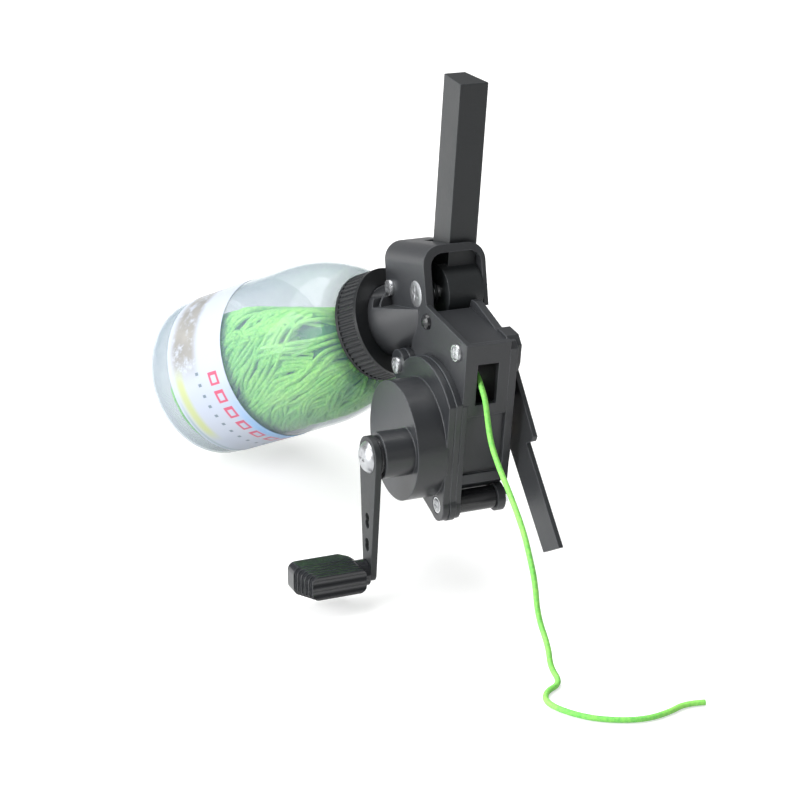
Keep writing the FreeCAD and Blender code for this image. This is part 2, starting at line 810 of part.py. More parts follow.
spacer_profile = [
    ("screw_radius + screw_clearance", "0"),
    ("spacer_radius", "0"),
    ("spacer_radius", "box_inside"),
    ("screw_radius + screw_clearance", "box_inside"),
]
keep(turned("front_spacer_body", spacer_profile, along_x("wall_left", LOW_SCREW)), "front_spacer")

# Bearings and shafts
def plain_bearing(label, start, length):
    profile = [
        ("drive_shaft_radius + shaft_clearance", "0"),
        ("drive_shaft_radius + bearing_wall", "0"),
        ("drive_shaft_radius + bearing_wall", length),
        ("drive_shaft_radius + shaft_clearance", length),
    ]
    return keep(turned(label + "_body", profile, along_x(start, DRUM)), label)


plain_bearing("left_bearing", "plate_left", "gear_plate_thickness + wall_left")
plain_bearing("right_bearing", "box_right", "side_thickness")

shaft_profile = [
    ("0", "0"),
    ("drive_shaft_radius", "0"),
    ("drive_shaft_radius", "shaft_length"),
    ("0", "shaft_length"),
]
keep(turned("drive_shaft_body", shaft_profile, along_x("shaft_left", DRUM)), "drive_shaft")

wheel_profile = [
    ("drive_shaft_radius", "0"),
    ("drive_shaft_radius + 3.5", "0"),
    ("drive_shaft_radius + 3.5", "wheel_width / 2 - 1.5"),
    ("rim_radius - 3", "wheel_width / 2 - 1.5"),
    ("rim_radius - 3", "0"),
    ("rim_radius", "0"),
    ("rim_radius", "wheel_width"),
    ("rim_radius - 3", "wheel_width"),
    ("rim_radius - 3", "wheel_width / 2 + 1.5"),
    ("drive_shaft_radius + 3.5", "wheel_width / 2 + 1.5"),
    ("drive_shaft_radius + 3.5", "wheel_width"),
    ("drive_shaft_radius", "wheel_width"),
]
keep(turned("drive_wheel_body", wheel_profile, along_x("wheel_start", DRUM)), "drive_wheel")
tyre_profile = [
    ("rim_radius", "0"),
    ("wheel_radius", "0"),
    ("wheel_radius", "wheel_width * 0.3"),
    ("wheel_radius - 0.8", "wheel_width * 0.5"),
    ("wheel_radius", "wheel_width * 0.7"),
    ("wheel_radius", "wheel_width"),
    ("rim_radius", "wheel_width"),
]
keep(turned("drive_tyre_body", tyre_profile, along_x("wheel_start", DRUM)), "drive_tyre")

keep(
    turned(
        "crank_bushing_body",
        [
            ("crank_shaft_radius + shaft_clearance", "0 - bushing_flange"),
            ("hub_radius - 1.5", "0 - bushing_flange"),
            ("hub_radius - 1.5", "0"),
            ("crank_shaft_radius + bushing_wall", "0"),
            ("crank_shaft_radius + bushing_wall", "hub_length + drum_wall"),
            ("crank_shaft_radius + shaft_clearance", "hub_length + drum_wall"),
        ],
        along_x("hub_left", CRANK),
    ),
    "crank_bushing",
)

crank_shaft_profile = [
    ("0", "0"),
    ("crank_shaft_radius", "0"),
    ("crank_shaft_radius", "crank_shaft_length"),
    ("0", "crank_shaft_length"),
]
keep(turned("crank_shaft_body", crank_shaft_profile, along_x("arm_right", CRANK)), "crank_shaft")


# Gears with involute teeth
def involute_outline(teeth, module, thinning, tip_add, root_drop):
    """Corners of a toothed outline about the origin, with a tooth centred on the first axis."""
    pressure = math.radians(20)
    pitch = module * teeth / 2
    base = pitch * math.cos(pressure)
    tip = pitch + tip_add
    root = pitch - root_drop
    rolled = math.tan(pressure) - pressure
    half_tooth = math.pi / 2 / teeth - thinning / 2 / pitch
    lowest = max(base, root)
    flank = []
    for step in range(7):
        radius = lowest + (tip - lowest) * step / 6
        turn = math.acos(min(1.0, base / radius))
        flank.append((radius, half_tooth + rolled - (math.tan(turn) - turn)))
    corners = []
    for tooth in range(teeth):
        middle = 2 * math.pi * tooth / teeth
        side = [(root, flank[0][1])] if root < lowest - 0.01 else []
        side += flank
        for radius, angle in side:
            corners.append((radius, middle - angle))
        for radius, angle in reversed(side):
            corners.append((radius, middle + angle))
    return [Vector(r * math.cos(a), r * math.sin(a), 0) for r, a in corners]


def polygon_prism(corners, height):
    wire = Part.makePolygon(corners + [corners[0]])
    return Part.Face(wire).extrude(Vector(0, 0, height))


module = value("gear_module")
backlash = value("gear_backlash")
width = value("gear_width")
pinion_solid = polygon_prism(
    involute_outline(int(value("pinion_teeth")), module, backlash, module * 0.9, module * 1.2), width
)
pinion_solid = pinion_solid.cut(Part.makeCylinder(value("crank_shaft_radius"), width))
pinion = doc.addObject("Part::Feature", "pinion_form")
pinion.Shape = pinion_solid
facing = Rotation(Z_AXIS, -90 - value("crank_raise"))
pinion.Placement = along_x("pinion_start", CRANK).multiply(Placement(Vector(0, 0, 0), facing))
keep(pinion, "crank_pinion")

ring_outer = module * value("ring_teeth") / 2 + module * 1.3 + value("ring_rim")
web = value("ring_web")
ring_solid = Part.makeCylinder(ring_outer, width + web)
teeth_space = polygon_prism(
    involute_outline(int(value("ring_teeth")), module, -backlash / 2, module * 1.2, module * 0.8), width
)
ring_solid = ring_solid.cut(teeth_space)
ring_solid = ring_solid.cut(Part.makeCylinder(value("drive_shaft_radius"), width + web))
ring = doc.addObject("Part::Feature", "ring_form")
ring.Shape = ring_solid
ring.Placement = along_x("pinion_start", DRUM).multiply(Placement(Vector(0, 0, 0), facing))
keep(ring, "ring_gear")


# Crank: arm, domed screw, knob pin and paddle knob
lean = math.radians(value("arm_lean"))

def crank_arm():
    across = "cos(arm_lean)"
    down = "sin(arm_lean)"
    outline = [
        (f"crank_y - arm_top_radius * {across}", f"crank_z + arm_top_radius * {down}"),
        (f"crank_y + arm_top_radius * {across}", f"crank_z - arm_top_radius * {down}"),
        (f"knob_y + arm_end_radius * {across}", f"knob_z - arm_end_radius * {down}"),
        (f"knob_y - arm_end_radius * {across}", f"knob_z + arm_end_radius * {down}"),
    ]
    blank = join(
        "arm_blank",
        [
            slab("arm_strip", outline, "arm_left", "arm_thickness"),
            rod("arm_top", CRANK, "arm_top_radius", "arm_left", "arm_thickness"),
            rod("arm_end", KNOB, "arm_end_radius", "arm_left", "arm_thickness"),
        ],
    )
    holes = [
        rod("arm_screw_hole", CRANK, "screw_radius + 0.6", "arm_left - 1", "arm_thickness + 2"),
        rod("arm_pin_hole", KNOB, "knob_pin_radius", "arm_left - 1", "arm_thickness + 2"),
    ]
    for number, share in enumerate((0.52, 0.58, 0.74, 0.78)):
        spot = (
            f"crank_y - arm_length * {share} * sin(arm_lean)",
            f"crank_z - arm_length * {share} * cos(arm_lean)",
        )
        holes.append(rod(f"arm_hole_{number}", spot, "2.1", "arm_left - 1", "arm_thickness + 2"))
    return keep(cut("arm_cut", blank, holes), "crank_arm")


crank_arm()
dome_profile = [
    ("0", "0"),
    ("crank_screw_radius * 0.45", "0.3"),
    ("crank_screw_radius * 0.8", "1.2"),
    ("crank_screw_radius", "crank_screw_height"),
    ("screw_radius + 0.6", "crank_screw_height"),
    ("screw_radius + 0.6", "crank_screw_height + arm_thickness"),
    ("0", "crank_screw_height + arm_thickness"),
]
dome = turned("crank_screw_dome", dome_profile, along_x("crank_screw_left", CRANK))
dome_slots = [
    block(
        "dome_slot_a",
        ("crank_screw_left - 1", "crank_y - 0.7", "crank_z - 3.2"),
        ("2.6", "1.4", "6.4"),
    ),
    block(
        "dome_slot_b",
        ("crank_screw_left - 1", "crank_y - 3.2", "crank_z - 0.7"),
        ("2.6", "6.4", "1.4"),
    ),
]
keep(cut("crank_screw_cut", dome, dome_slots), "crank_screw")

keep(
    turned(
        "knob_pin_body",
        [
            ("0", "0"),
            ("pin_button", "0"),
            ("pin_button", "2"),
            ("knob_pin_radius", "2"),
            ("knob_pin_radius", "arm_right - pin_tip"),
            ("0", "arm_right - pin_tip"),
        ],
        along_x("pin_tip", KNOB),
    ),
    "knob_pin",
)


def knob_slice(number):
    """One layer of the paddle: the back half, then ribs that shrink towards the front."""
    shrink = f"knob_rib_step * {number}"
    start = f"knob_y - knob_depth / 2 + (knob_ribs - {number}) * knob_rib_width"
    depth = "knob_rib_width + 2" if number else "knob_depth - knob_ribs * knob_rib_width"
    return rounded_block(
        f"knob_layer_{number}",
        (f"knob_left + 2 * {shrink}", start, f"knob_z - knob_thickness / 2 + {shrink} / 2"),
        (f"knob_length - 2 * {shrink}", depth, f"knob_thickness - {shrink}"),
        "y",
        f"knob_corner - 0.2 * {shrink}",
    )


def crank_knob():
    """A paddle with stepped ribs towards its front, on a short barrel that turns on the pin."""
    layers = [knob_slice(number) for number in range(int(value("knob_ribs")) + 1)]
    barrel = rod("knob_barrel", KNOB, "knob_neck_radius", "knob_right - 4", "knob_neck + 4")
    corner = doc.addObject("Sketcher::SketchObject", "knob_corner_plan")
    draw_polygon(
        corner,
        [
            ("knob_right - knob_taper", "knob_y + knob_depth / 2 + 1"),
            ("knob_right + 1", "knob_y + knob_depth / 2 + 1"),
            ("knob_right + 1", "knob_y + 0.6"),
        ],
    )
    corner.setExpression("Placement.Base.z", bound("knob_z - knob_thickness"))
    wedge = doc.addObject("Part::Extrusion", "knob_corner_cut")
    wedge.Base = corner
    wedge.DirMode = "Custom"
    wedge.Dir = Z_AXIS
    wedge.Solid = True
    wedge.setExpression("LengthFwd", bound("knob_thickness * 2"))
    paddle = cut("knob_paddle", join("knob_layers", layers), [wedge])
    length = "knob_length + knob_neck"
    bores = [
        rod("knob_bore", KNOB, "knob_pin_radius + shaft_clearance", "pin_tip + 1", length),
        rod("button_room", KNOB, "pin_button + shaft_clearance", "pin_tip - knob_gap", "2 + 2 * knob_gap"),
    ]
    knob = cut("knob_cut", join("knob_joined", [paddle, barrel]), bores)
    axis = Vector(0, value("knob_y"), value("knob_z"))
    knob.Placement = Placement(Vector(0, 0, 0), Rotation(X_AXIS, -value("knob_rest")), axis)
    return keep(knob, "crank_knob")


crank_knob()


# Trigger lever with its hub, fork and pinch roller
def trigger_lever():
    section = doc.addObject("Sketcher::SketchObject", "lever_section")
    inset = "(lever_width - lever_back_width) / 2"
    draw_polygon(
        section,
        [
            ("lever_left", "lever_front"),
            ("lever_left + lever_width", "lever_front"),
            (f"lever_left + lever_width - {inset}", "lever_front + lever_depth"),
            (f"lever_left + {inset}", "lever_front + lever_depth"),
        ],
    )
    section.setExpression("Placement.Base.z", bound("pivot_z"))
    bar = doc.addObject("Part::Extrusion", "lever_bar")
    bar.Base = section
    bar.DirMode = "Custom"
    bar.Dir = Z_AXIS
    bar.Solid = True
    bar.setExpression("LengthFwd", bound("lever_top - pivot_z"))
    trims = [
        slab(
            "lever_top_trim",
            [
                ("lever_front", "lever_top"),
                ("lever_front + lever_depth + 1", "lever_top - lever_slope * 1.05"),
                ("lever_front + lever_depth + 1", "lever_top + 1"),
                ("lever_front", "lever_top + 1"),
            ],
            "lever_left - 1",
            "lever_width + 2",
        ),
        slab(
            "lever_heel_trim",
            [
                ("pivot_y + lever_hub_radius * 0.6", "pivot_z - 1"),
                ("lever_front + lever_depth + 1", "pivot_z - 1"),
                ("lever_front + lever_depth + 1", "pivot_z + 15"),
                ("pivot_y + lever_hub_radius * 0.9", "pivot_z + 4"),
            ],
            "lever_left - 1",
            "lever_width + 2",
        ),
    ]
    shaped = cut("lever_shaped", bar, trims)
    hub = rod("lever_hub", PIVOT, "lever_hub_radius", "lever_hub_left", "hub_width")
    yoke = slab(
        "lever_yoke",
        [
            ("pivot_y - 7", "pivot_z - 4"),
            ("pivot_y + 3", "pivot_z - 8"),
            ("pinch_y + cheek_radius", "pinch_z"),
            ("pinch_y - cheek_radius", "pinch_z"),
        ],
        "yoke_left",
        "yoke_width",
    )
    toe = rod("yoke_toe", PINCH, "cheek_radius", "yoke_left", "yoke_width")
    roller_room = rod(
        "roller_room",
        PINCH,
        "pinch_radius + 1",
        "yoke_left + cheek_thickness",
        "pinch_width + 2 * cheek_gap",
    )
    trim = rod(
        "hub_trim", PIVOT, "lever_hub_radius + 0.01", "yoke_left - 1", "lever_hub_left - yoke_left + 1"
    )
    lower = cut("lever_lower", join("lever_fork", [yoke, toe]), [roller_room, trim])
    holes = [
        rod("lever_bore", PIVOT, "pivot_radius + shaft_clearance", "lever_hub_left - 8", "hub_width + 16"),
        rod("axle_bore", PINCH, "pinch_axle_radius", "yoke_left - 1", "yoke_width + 2"),
    ]
    solid = join("lever_joined", [shaped, hub, lower])
    return keep(cut("lever_cut", solid, holes), "trigger_lever")


trigger_lever()
keep(
    turned(
        "pinch_roller_body",
        [
            ("pinch_axle_radius + shaft_clearance", "0"),
            ("pinch_radius", "0"),
            ("pinch_radius", "pinch_width * 0.3"),
            ("pinch_radius - 0.5", "pinch_width * 0.5"),
            ("pinch_radius", "pinch_width * 0.7"),
            ("pinch_radius", "pinch_width"),
            ("pinch_axle_radius + shaft_clearance", "pinch_width"),
        ],
        along_x("roller_left", PINCH),
    ),
    "pinch_roller",
)
axle_profile = [
    ("0", "0"),
    ("pinch_axle_radius", "0"),
    ("pinch_axle_radius", "yoke_width"),
    ("0", "yoke_width"),
]
keep(turned("pinch_axle_body", axle_profile, along_x("yoke_left", PINCH)), "pinch_axle")

pivot = turned(
    "pivot_screw_turned",
    [
        ("0", "0"),
        ("pivot_head_radius", "0"),
        ("pivot_head_radius", "0.9"),
        ("pivot_radius", "0.9"),
        ("pivot_radius", "pivot_length + nut_height + 1.5"),
        ("0", "pivot_length + nut_height + 1.5"),
    ],
    along_x("0", PIVOT),
)
pivot_slots = [
    block("pivot_slot_a", ("-1", "pivot_y - 0.7", "pivot_z - 3.4"), ("1.6", "1.4", "6.8")),
    block("pivot_slot_b", ("-1", "pivot_y - 3.4", "pivot_z - 0.7"), ("1.6", "6.8", "1.4")),
]
keep(cut("pivot_screw_cut", pivot, pivot_slots), "pivot_screw")
keep(
    hex_nut(
        "pivot_nut_form",
        "hood_width",
        PIVOT,
        "nut_across + 2.6",
        "nut_height",
        "pivot_radius + shaft_clearance",
    ),
    "pivot_nut",
)

# Stop peg on the left wall, below the pivot
peg = turned(
    "stop_peg_body",
    [("0", "0"), ("2.2", "0.3"), ("3.3", "1.2"), ("3.7", "2.6"), ("0", "2.6")],
    Placement(Vector(-2.6, 14.9, 49.2), ALONG_X),
)
keep(peg, "stop_peg")


# Wound tubes: a round wire along arcs that join end to end
def biarc(start, start_way, end, end_way):
    """Two arcs that leave and arrive along the given directions."""
    gap = end - start
    ways = start_way + end_way
    square = 2 * (1 - start_way.dot(end_way))
    reach = gap.dot(ways)
    if abs(square) < 1e-9:
        step = gap.dot(gap) / (2 * reach)
    else:
        step = (-reach + math.sqrt(reach * reach + square * gap.dot(gap))) / square
    joint = (start + start_way * step + end - end_way * step) * 0.5
    edges = []
    for first, way, last in ((start, start_way, joint), (end, end_way * -1, joint)):
        chord = last - first
        side = chord - way * chord.dot(way)
        across = way - chord * (way.dot(chord) / chord.dot(chord))
        angle = way.getAngle(chord)
        middle = first + chord * 0.5
        if side.Length > 1e-6:
            across.normalize()
            middle = middle + across * (chord.Length / 2 * math.tan(angle / 2))
            arc = Part.Arc(first, middle, last).toShape()
        else:
            arc = Part.LineSegment(first, last).toShape()
        edges.append(arc)
    return edges


def wire_along(path, direction, spots):
    """A wire of biarcs through path(s) for each s of spots."""
    edges = []
    for low, high in zip(spots, spots[1:]):
        edges += biarc(path(low), direction(low), path(high), direction(high))
    return Part.Wire(Part.__sortEdges__(edges))


def tube_on(wire, start, way, radius):
    """A round tube along a wire."""
    circle = Part.Wire([Part.Circle(start, way, radius).toShape()])
    shell = Part.BRepOffsetAPI.MakePipeShell(wire)
    shell.add(circle)
    shell.build()
    shell.makeSolid()
    return shell.shape()


def least_gap(points, skip, radius):
    """The smallest space between turns of a tube, measured on points along it."""
    smallest = 1e9
    for i in range(len(points)):
        for j in range(i + skip, len(points)):
            smallest = min(smallest, points[i].distanceToPoint(points[j]))
    return smallest - 2 * radius


LINE_RADIUS = value("line_diameter") / 2
loops = int(value("hank_loops"))
pitch = value("hank_pitch")
slant = math.radians(value("hank_slant"))
hank_radius = value("hank_radius")


def hank_point(turn):
    """A point of the hank: loops that lean, drawn in at both ends so that they fit the bottle."""
    angle = 2 * math.pi * turn
    share = turn / loops
    swell = 1 - 0.16 * (2 * share - 1) ** 4
    radius = hank_radius * swell
    along = value_hank_start + pitch * turn + radius * math.tan(slant) * (math.cos(angle) + 1) / 2
    return Vector(radius * math.cos(angle), radius * math.sin(angle), along)


def hank_way(turn):
    small = 1e-5
    way = hank_point(turn + small) - hank_point(turn - small)
    return way.normalize()


value_hank_start = value("hank_start")
hank_spots = [quarter_turn / 4 for quarter_turn in range(loops * 4 + 1)]
hank_wire = wire_along(hank_point, hank_way, hank_spots)
hank_tube = tube_on(hank_wire, hank_point(0), hank_way(0), LINE_RADIUS)
samples = [hank_point(step / 36) for step in range(loops * 36 + 1)]
print("hank loops", loops, "least gap", round(least_gap(samples, 18, LINE_RADIUS), 2))
hank = doc.addObject("Part::Feature", "hank_form")
hank.Shape = hank_tube
hank.Placement = BOTTLE_FRAME
keep(hank, "line_hank")

keep(
    turned(
        "line_core_body",
        [
            ("0", "core_start"),
            ("core_radius - 8", "core_start"),
            ("core_radius", "core_start + 8"),
            ("core_radius", "core_start + core_length - 8"),
            ("core_radius - 8", "core_start + core_length"),
            ("0", "core_start + core_length"),
        ],
        BOTTLE_FRAME,
    ),
    "line_core",
)

# Return spring round the pivot, beside the lever's hub
spring_turns = value("spring_turns")
spring_pitch = value("spring_wire + spring_gap")


def spring_point(turn):
    angle = 2 * math.pi * turn
    radius = value_spring_radius
    return Vector(radius * math.cos(angle), radius * math.sin(angle), spring_pitch * turn)


def spring_way(turn):
    small = 1e-5
    way = spring_point(turn + small) - spring_point(turn - small)
    return way.normalize()


value_spring_radius = value("spring_radius")
spring_spots = [quarter_turn / 4 for quarter_turn in range(int(spring_turns) * 4 + 1)]
spring_wire = wire_along(spring_point, spring_way, spring_spots)
spring_tube = tube_on(spring_wire, spring_point(0), spring_way(0), value("spring_wire") / 2)
samples = [spring_point(step / 36) for step in range(int(spring_turns) * 36 + 1)]
spring_least = least_gap(samples, 18, value("spring_wire") / 2)
print("spring turns", spring_turns, "least gap", round(spring_least, 2))
spring = doc.addObject("Part::Feature", "spring_form")
spring.Shape = spring_tube
spring.Placement = along_x("wall_left + 0.9", PIVOT)
keep(spring, "return_spring")


# Bottle group on its slanted axis


def bottle_collar():
    body = turned(
        "collar_turned",
        [
            ("neck_radius + collar_bore_gap", "0"),
            ("collar_radius", "0"),
            ("collar_radius", "collar_length"),
            ("finish_radius + finish_gap", "collar_length"),
            ("finish_radius + finish_gap", "collar_front"),
            ("neck_radius + collar_bore_gap", "collar_front"),
        ],
        BOTTLE_FRAME,
    )
    count = int(value("collar_flutes"))
    radius = value("collar_radius")
    depth = value("flute_depth")
    length = value("collar_length")
    grooves = []
    for number in range(count):
        angle = 2 * math.pi * number / count
        centre = Vector((radius + 0.55) * math.cos(angle), (radius + 0.55) * math.sin(angle), 1.6)
        grooves.append(Part.makeCylinder(depth + 0.55, length - 3.2, centre))
    flutes = doc.addObject("Part::Feature", "collar_flutes_form")
    flutes.Shape = Part.makeCompound(grooves)
    flutes.Placement = BOTTLE_FRAME
    return keep(cut("collar_cut", body, [flutes]), "bottle_collar")


bottle_collar()
keep(
    turned(
        "gasket_body",
        [
            ("neck_bore + 0.5", "gasket_start"),
            ("finish_radius - 0.6", "gasket_start"),
            ("finish_radius - 0.6", "mouth_start"),
            ("neck_bore + 0.5", "mouth_start"),
        ],
        BOTTLE_FRAME,
    ),
    "neck_gasket",
)


def bottle_profile():
    """Half outline of the bottle: a mouth, a rounded shoulder, a straight side and a round foot."""
    wall = value("bottle_wall")
    outer = []
    finish = value("finish_radius")
    radius = value("bottle_radius")
    mouth = value("mouth_start")
    shoulder = value("shoulder_length")
    end = value("bottle_length")
    corner = value("bottle_corner")
    base = value("collar_length") + 1.0
    outer.append(("p", Vector(finish, 0, mouth)))
    outer.append(("p", Vector(finish, 0, base)))
    rise = value("shoulder_rise")
    lip = value("shoulder_radius")
    bulge = Vector(lip - (lip - finish) * 0.42, 0, base + rise * 0.24)
    outer.append(("a", bulge, Vector(lip, 0, base + rise)))
    start = base + rise
    round_radius = ((radius - lip) ** 2 + shoulder**2) / (2 * (radius - lip))
    middle = radius - round_radius + math.sqrt(round_radius**2 - (shoulder / 2) ** 2)
    outer.append(("a", Vector(middle, 0, start + shoulder / 2), Vector(radius, 0, start + shoulder)))
    outer.append(("p", Vector(radius, 0, end - corner)))
    bend = corner * (1 - math.sqrt(0.5))
    outer.append(("a", Vector(radius - bend, 0, end - bend), Vector(radius - corner, 0, end)))
    return outer, wall


def outline_edges(steps):
    edges = []
    here = steps[0][1]
    for step in steps[1:]:
        if step[0] == "p":
            edges.append(Part.LineSegment(here, step[1]).toShape())
            here = step[1]
        else:
            edges.append(Part.Arc(here, step[1], step[2]).toShape())
            here = step[2]
    return edges, here


def bottle():
    steps, wall = bottle_profile()
    edges, last = outline_edges(steps)
    rise = value("bottle_push_up")
    flat = value("bottle_radius / 4")
    edges.append(Part.LineSegment(last, Vector(flat, 0, last.z - rise)).toShape())
    edges.append(Part.LineSegment(Vector(flat, 0, last.z - rise), Vector(0, 0, last.z - rise)).toShape())
    # How far each outline point moves inwards and down the axis, in wall thicknesses
    moves = [[(1, 0)], [(1, 0.7)], [(0.3, 0.85), (0.5, 0.8)], [(0.9, 0.2), (1, 0)], [(1, 0)]]
    moves.append([(0.7, -0.7), (0, -1)])
    inner = []
    for step, shifts in zip(steps, moves):
        moved = [
            Vector(point.x - wall * across, 0, point.z + wall * along)
            for point, (across, along) in zip(step[1:], shifts)
        ]
        inner.append((step[0],) + tuple(moved))
    inner_edges, inner_last = outline_edges(inner)
    low = inner_last.z - rise
    edges.append(Part.LineSegment(Vector(0, 0, last.z - rise), Vector(0, 0, low)).toShape())
    edges.append(Part.LineSegment(Vector(0, 0, low), Vector(flat, 0, low)).toShape())
    edges.append(Part.LineSegment(Vector(flat, 0, low), inner_last).toShape())
    edges += inner_edges
    edges.append(Part.LineSegment(steps[0][1], inner[0][1]).toShape())
    profile = Part.Face(Part.Wire(Part.__sortEdges__(edges)))
    solid = profile.revolve(Vector(0, 0, 0), Z_AXIS, 360)
    if solid.Volume < 0:
        solid.reverse()
    shell = doc.addObject("Part::Feature", "bottle_form")
    shell.Shape = solid
    shell.Placement = BOTTLE_FRAME
    return keep(shell, "bottle")


bottle()
keep(
    turned(
        "bottle_label_body",
        [
            ("bottle_radius + label_gap", "label_start"),
            ("bottle_radius + label_gap + label_thickness", "label_start"),
            ("bottle_radius + label_gap + label_thickness", "label_start + label_length"),
            ("bottle_radius + label_gap", "label_start + label_length"),
        ],
        BOTTLE_FRAME,
    ),
    "bottle_label",
)


# Bow bracket: a plate on the side plate's bosses with a long bar running forward and down
def bow_bracket():
    start = ("-30.2", "6")
    tip = (f"{start[0]} - bar_length * cos(bar_angle)", f"{start[1]} - bar_length * sin(bar_angle)")
    outline = [
        ("-13.2", "33.8"),
        (f"{start[0]} - bracket_step * 0.72", f"{start[1]} + bracket_step * 0.69"),
        (f"{start[0]} - bracket_step * 0.6", f"{start[1]} + bracket_step * 0.37"),
        start,
        tip,
        (f"{tip[0]} + bar_width * 0.81", f"{tip[1]} - bar_width * 0.58"),
        ("-17.2", "-5.1"),
        ("13", "14.5"),
        ("10", "26"),
        ("-8", "35.2"),
    ]
    plate = slab("bracket_plate", outline, "boss_end", "bracket_thickness")
    holes = [rod("bow_hole", MOUNT, "mount_hole_radius", "boss_end - 1", "bracket_thickness + 2")]
    for name, centre in (("front", FRONT_BOLT), ("back", BACK_BOLT)):
        cone = doc.addObject("Part::Cone", "bolt_sink_" + name)
        cone.Placement = Placement(Vector(0, 0, 0), ALONG_X)
        cone.setExpression("Radius1", bound("bolt_radius"))
        cone.setExpression("Radius2", bound("bolt_head_radius"))
        cone.setExpression("Height", bound("bracket_thickness"))
        cone.setExpression("Placement.Base.x", bound("boss_end"))
        cone.setExpression("Placement.Base.y", bound(centre[0]))
        cone.setExpression("Placement.Base.z", bound(centre[1]))
        holes.append(cone)
    return keep(cut("bracket_cut", plate, holes), "bow_bracket")


bow_bracket()


def flush_bolt(name, centre):
    """A countersunk bolt, flush with the bracket's outer face."""
    body = turned(
        name,
        [
            ("0", "0"),
            ("bolt_radius", "0"),
            ("bolt_radius", "side_boss_height"),
            ("bolt_head_radius", "side_boss_height + bracket_thickness"),
            ("0", "side_boss_height + bracket_thickness"),
        ],
        along_x("side_outer", centre),
    )
    return body


bolt_group = doc.addObject("Part::Compound", "bracket_bolt_group")
bolt_group.Links = [flush_bolt("bolt_front_form", FRONT_BOLT), flush_bolt("bolt_back_form", BACK_BOLT)]
keep(bolt_group, "bracket_bolts")


# The line outside and inside the body: straight runs joined by tangent arcs
def cord_tube(name, route):
    """A tube along hand-chosen points, whose arcs are as large as their runs allow."""
    points = [Vector(*spot) for spot in route]
    edges = []
    here = points[0]
    radii = []
    for before, corner, after in zip(points, points[1:], points[2:]):
        back = (before - corner)
        onward = (after - corner)
        short = min(back.Length, onward.Length)
        trim = 0.45 * short
        turn = math.pi - back.getAngle(onward)
        radius = trim / math.tan(turn / 2)
        radii.append(round(radius, 1))
        back.normalize()
        onward.normalize()
        first = corner + back * trim
        last = corner + onward * trim
        bisector = (back + onward).normalize()
        centre = corner + bisector * math.hypot(radius, trim)
        middle = centre - bisector * radius
        edges.append(Part.LineSegment(here, first).toShape())
        edges.append(Part.Arc(first, middle, last).toShape())
        here = last
    edges.append(Part.LineSegment(here, points[-1]).toShape())
    wire = Part.Wire(edges)
    solid = tube_on(wire, points[0], (points[1] - points[0]).normalize(), LINE_RADIUS)
    expected = math.pi * LINE_RADIUS**2 * wire.Length
    print(name, "length", round(wire.Length, 1), "radii", radii)
    print(name, "volume against section times length", round(solid.Volume / expected, 4))
    tube = doc.addObject("Part::Feature", name + "_form")
    tube.Shape = solid
    return keep(tube, name)


FREE_LINE = [
    (9.0, -21.5, 36.6),
    (8.04, -26.3, 35.533),
    (8.9, -30.0, 29.8),
    (10.0, -31.5, 20.4),
    (10.2, -35.6, 11.9),
    (10.2, -44.0, 5.2),
    (10.2, -58.5, -3.0),
    (10.2, -72.5, -12.6),
    (10.2, -80.0, -21.3),
    (10.6, -85.8, -30.0),
    (12.0, -88.5, -46.0),
    (12.5, -99.5, -55.0),
    (12.0, -103.5, -62.5),
    (13.5, -111.5, -66.0),
    (3.5, -115.5, -66.0),
    (0.5, -124.0, -66.0),
    (10.0, -136.5, -66.0),
    (22.0, -143.5, -66.0),
    (35.0, -147.0, -66.0),
    (47.0, -145.5, -66.0),
    (56.5, -142.0, -66.0),
    (65.0, -144.0, -66.0),
]
cord_tube("free_line", FREE_LINE)

INNER_LINE = [
    (-2.6, 61.4, 27.5),
    (1.8, 54.4, 32.4),
    (6.4, 46.4, 36.2),
    (9.4, 38.6, 29.0),
    (11.3, 30.2, 19.2),
    (12.0, 21.5, 16.0),
    (12.0, 13.46, 17.7),
    (12.0, 3.6, 25.8),
    (10.9, -9.0, 35.4),
    (9.9, -17.0, 37.6),
    (9.0, -21.5, 36.6),
]
cord_tube("inner_line", INNER_LINE)


# Every object is sound before anything is written
doc.recompute()
faults = [item.Name for item in doc.Objects if "Invalid" in item.State or "Error" in item.State]
for piece in pieces:
    shape = piece.Shape
    if shape.isNull() or not shape.isValid():
        faults.append(piece.Label)
if faults:
    raise SystemExit("faulty: " + ", ".join(faults))

os.makedirs("parts", exist_ok=True)
for piece in pieces:
    piece.Shape.exportStep(os.path.join("parts", piece.Label + ".step"))
print("pieces", len(pieces))
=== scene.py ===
# %% [markdown]
# # A bottle reel for bowfishing
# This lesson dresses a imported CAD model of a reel. The model comes in as a fixed frame of named
# parts, and each part either keeps its CAD shape and gets a finish, or steps aside for a finer
# mesh. Everything is in metres, in the CAD model's own axes: X points out of the bow bracket,
# Y points back towards the bottle, and Z is up.

# %% Load the frame and keep its size
import math
import random

import bmesh
import bpy
from mathutils import Matrix, Vector


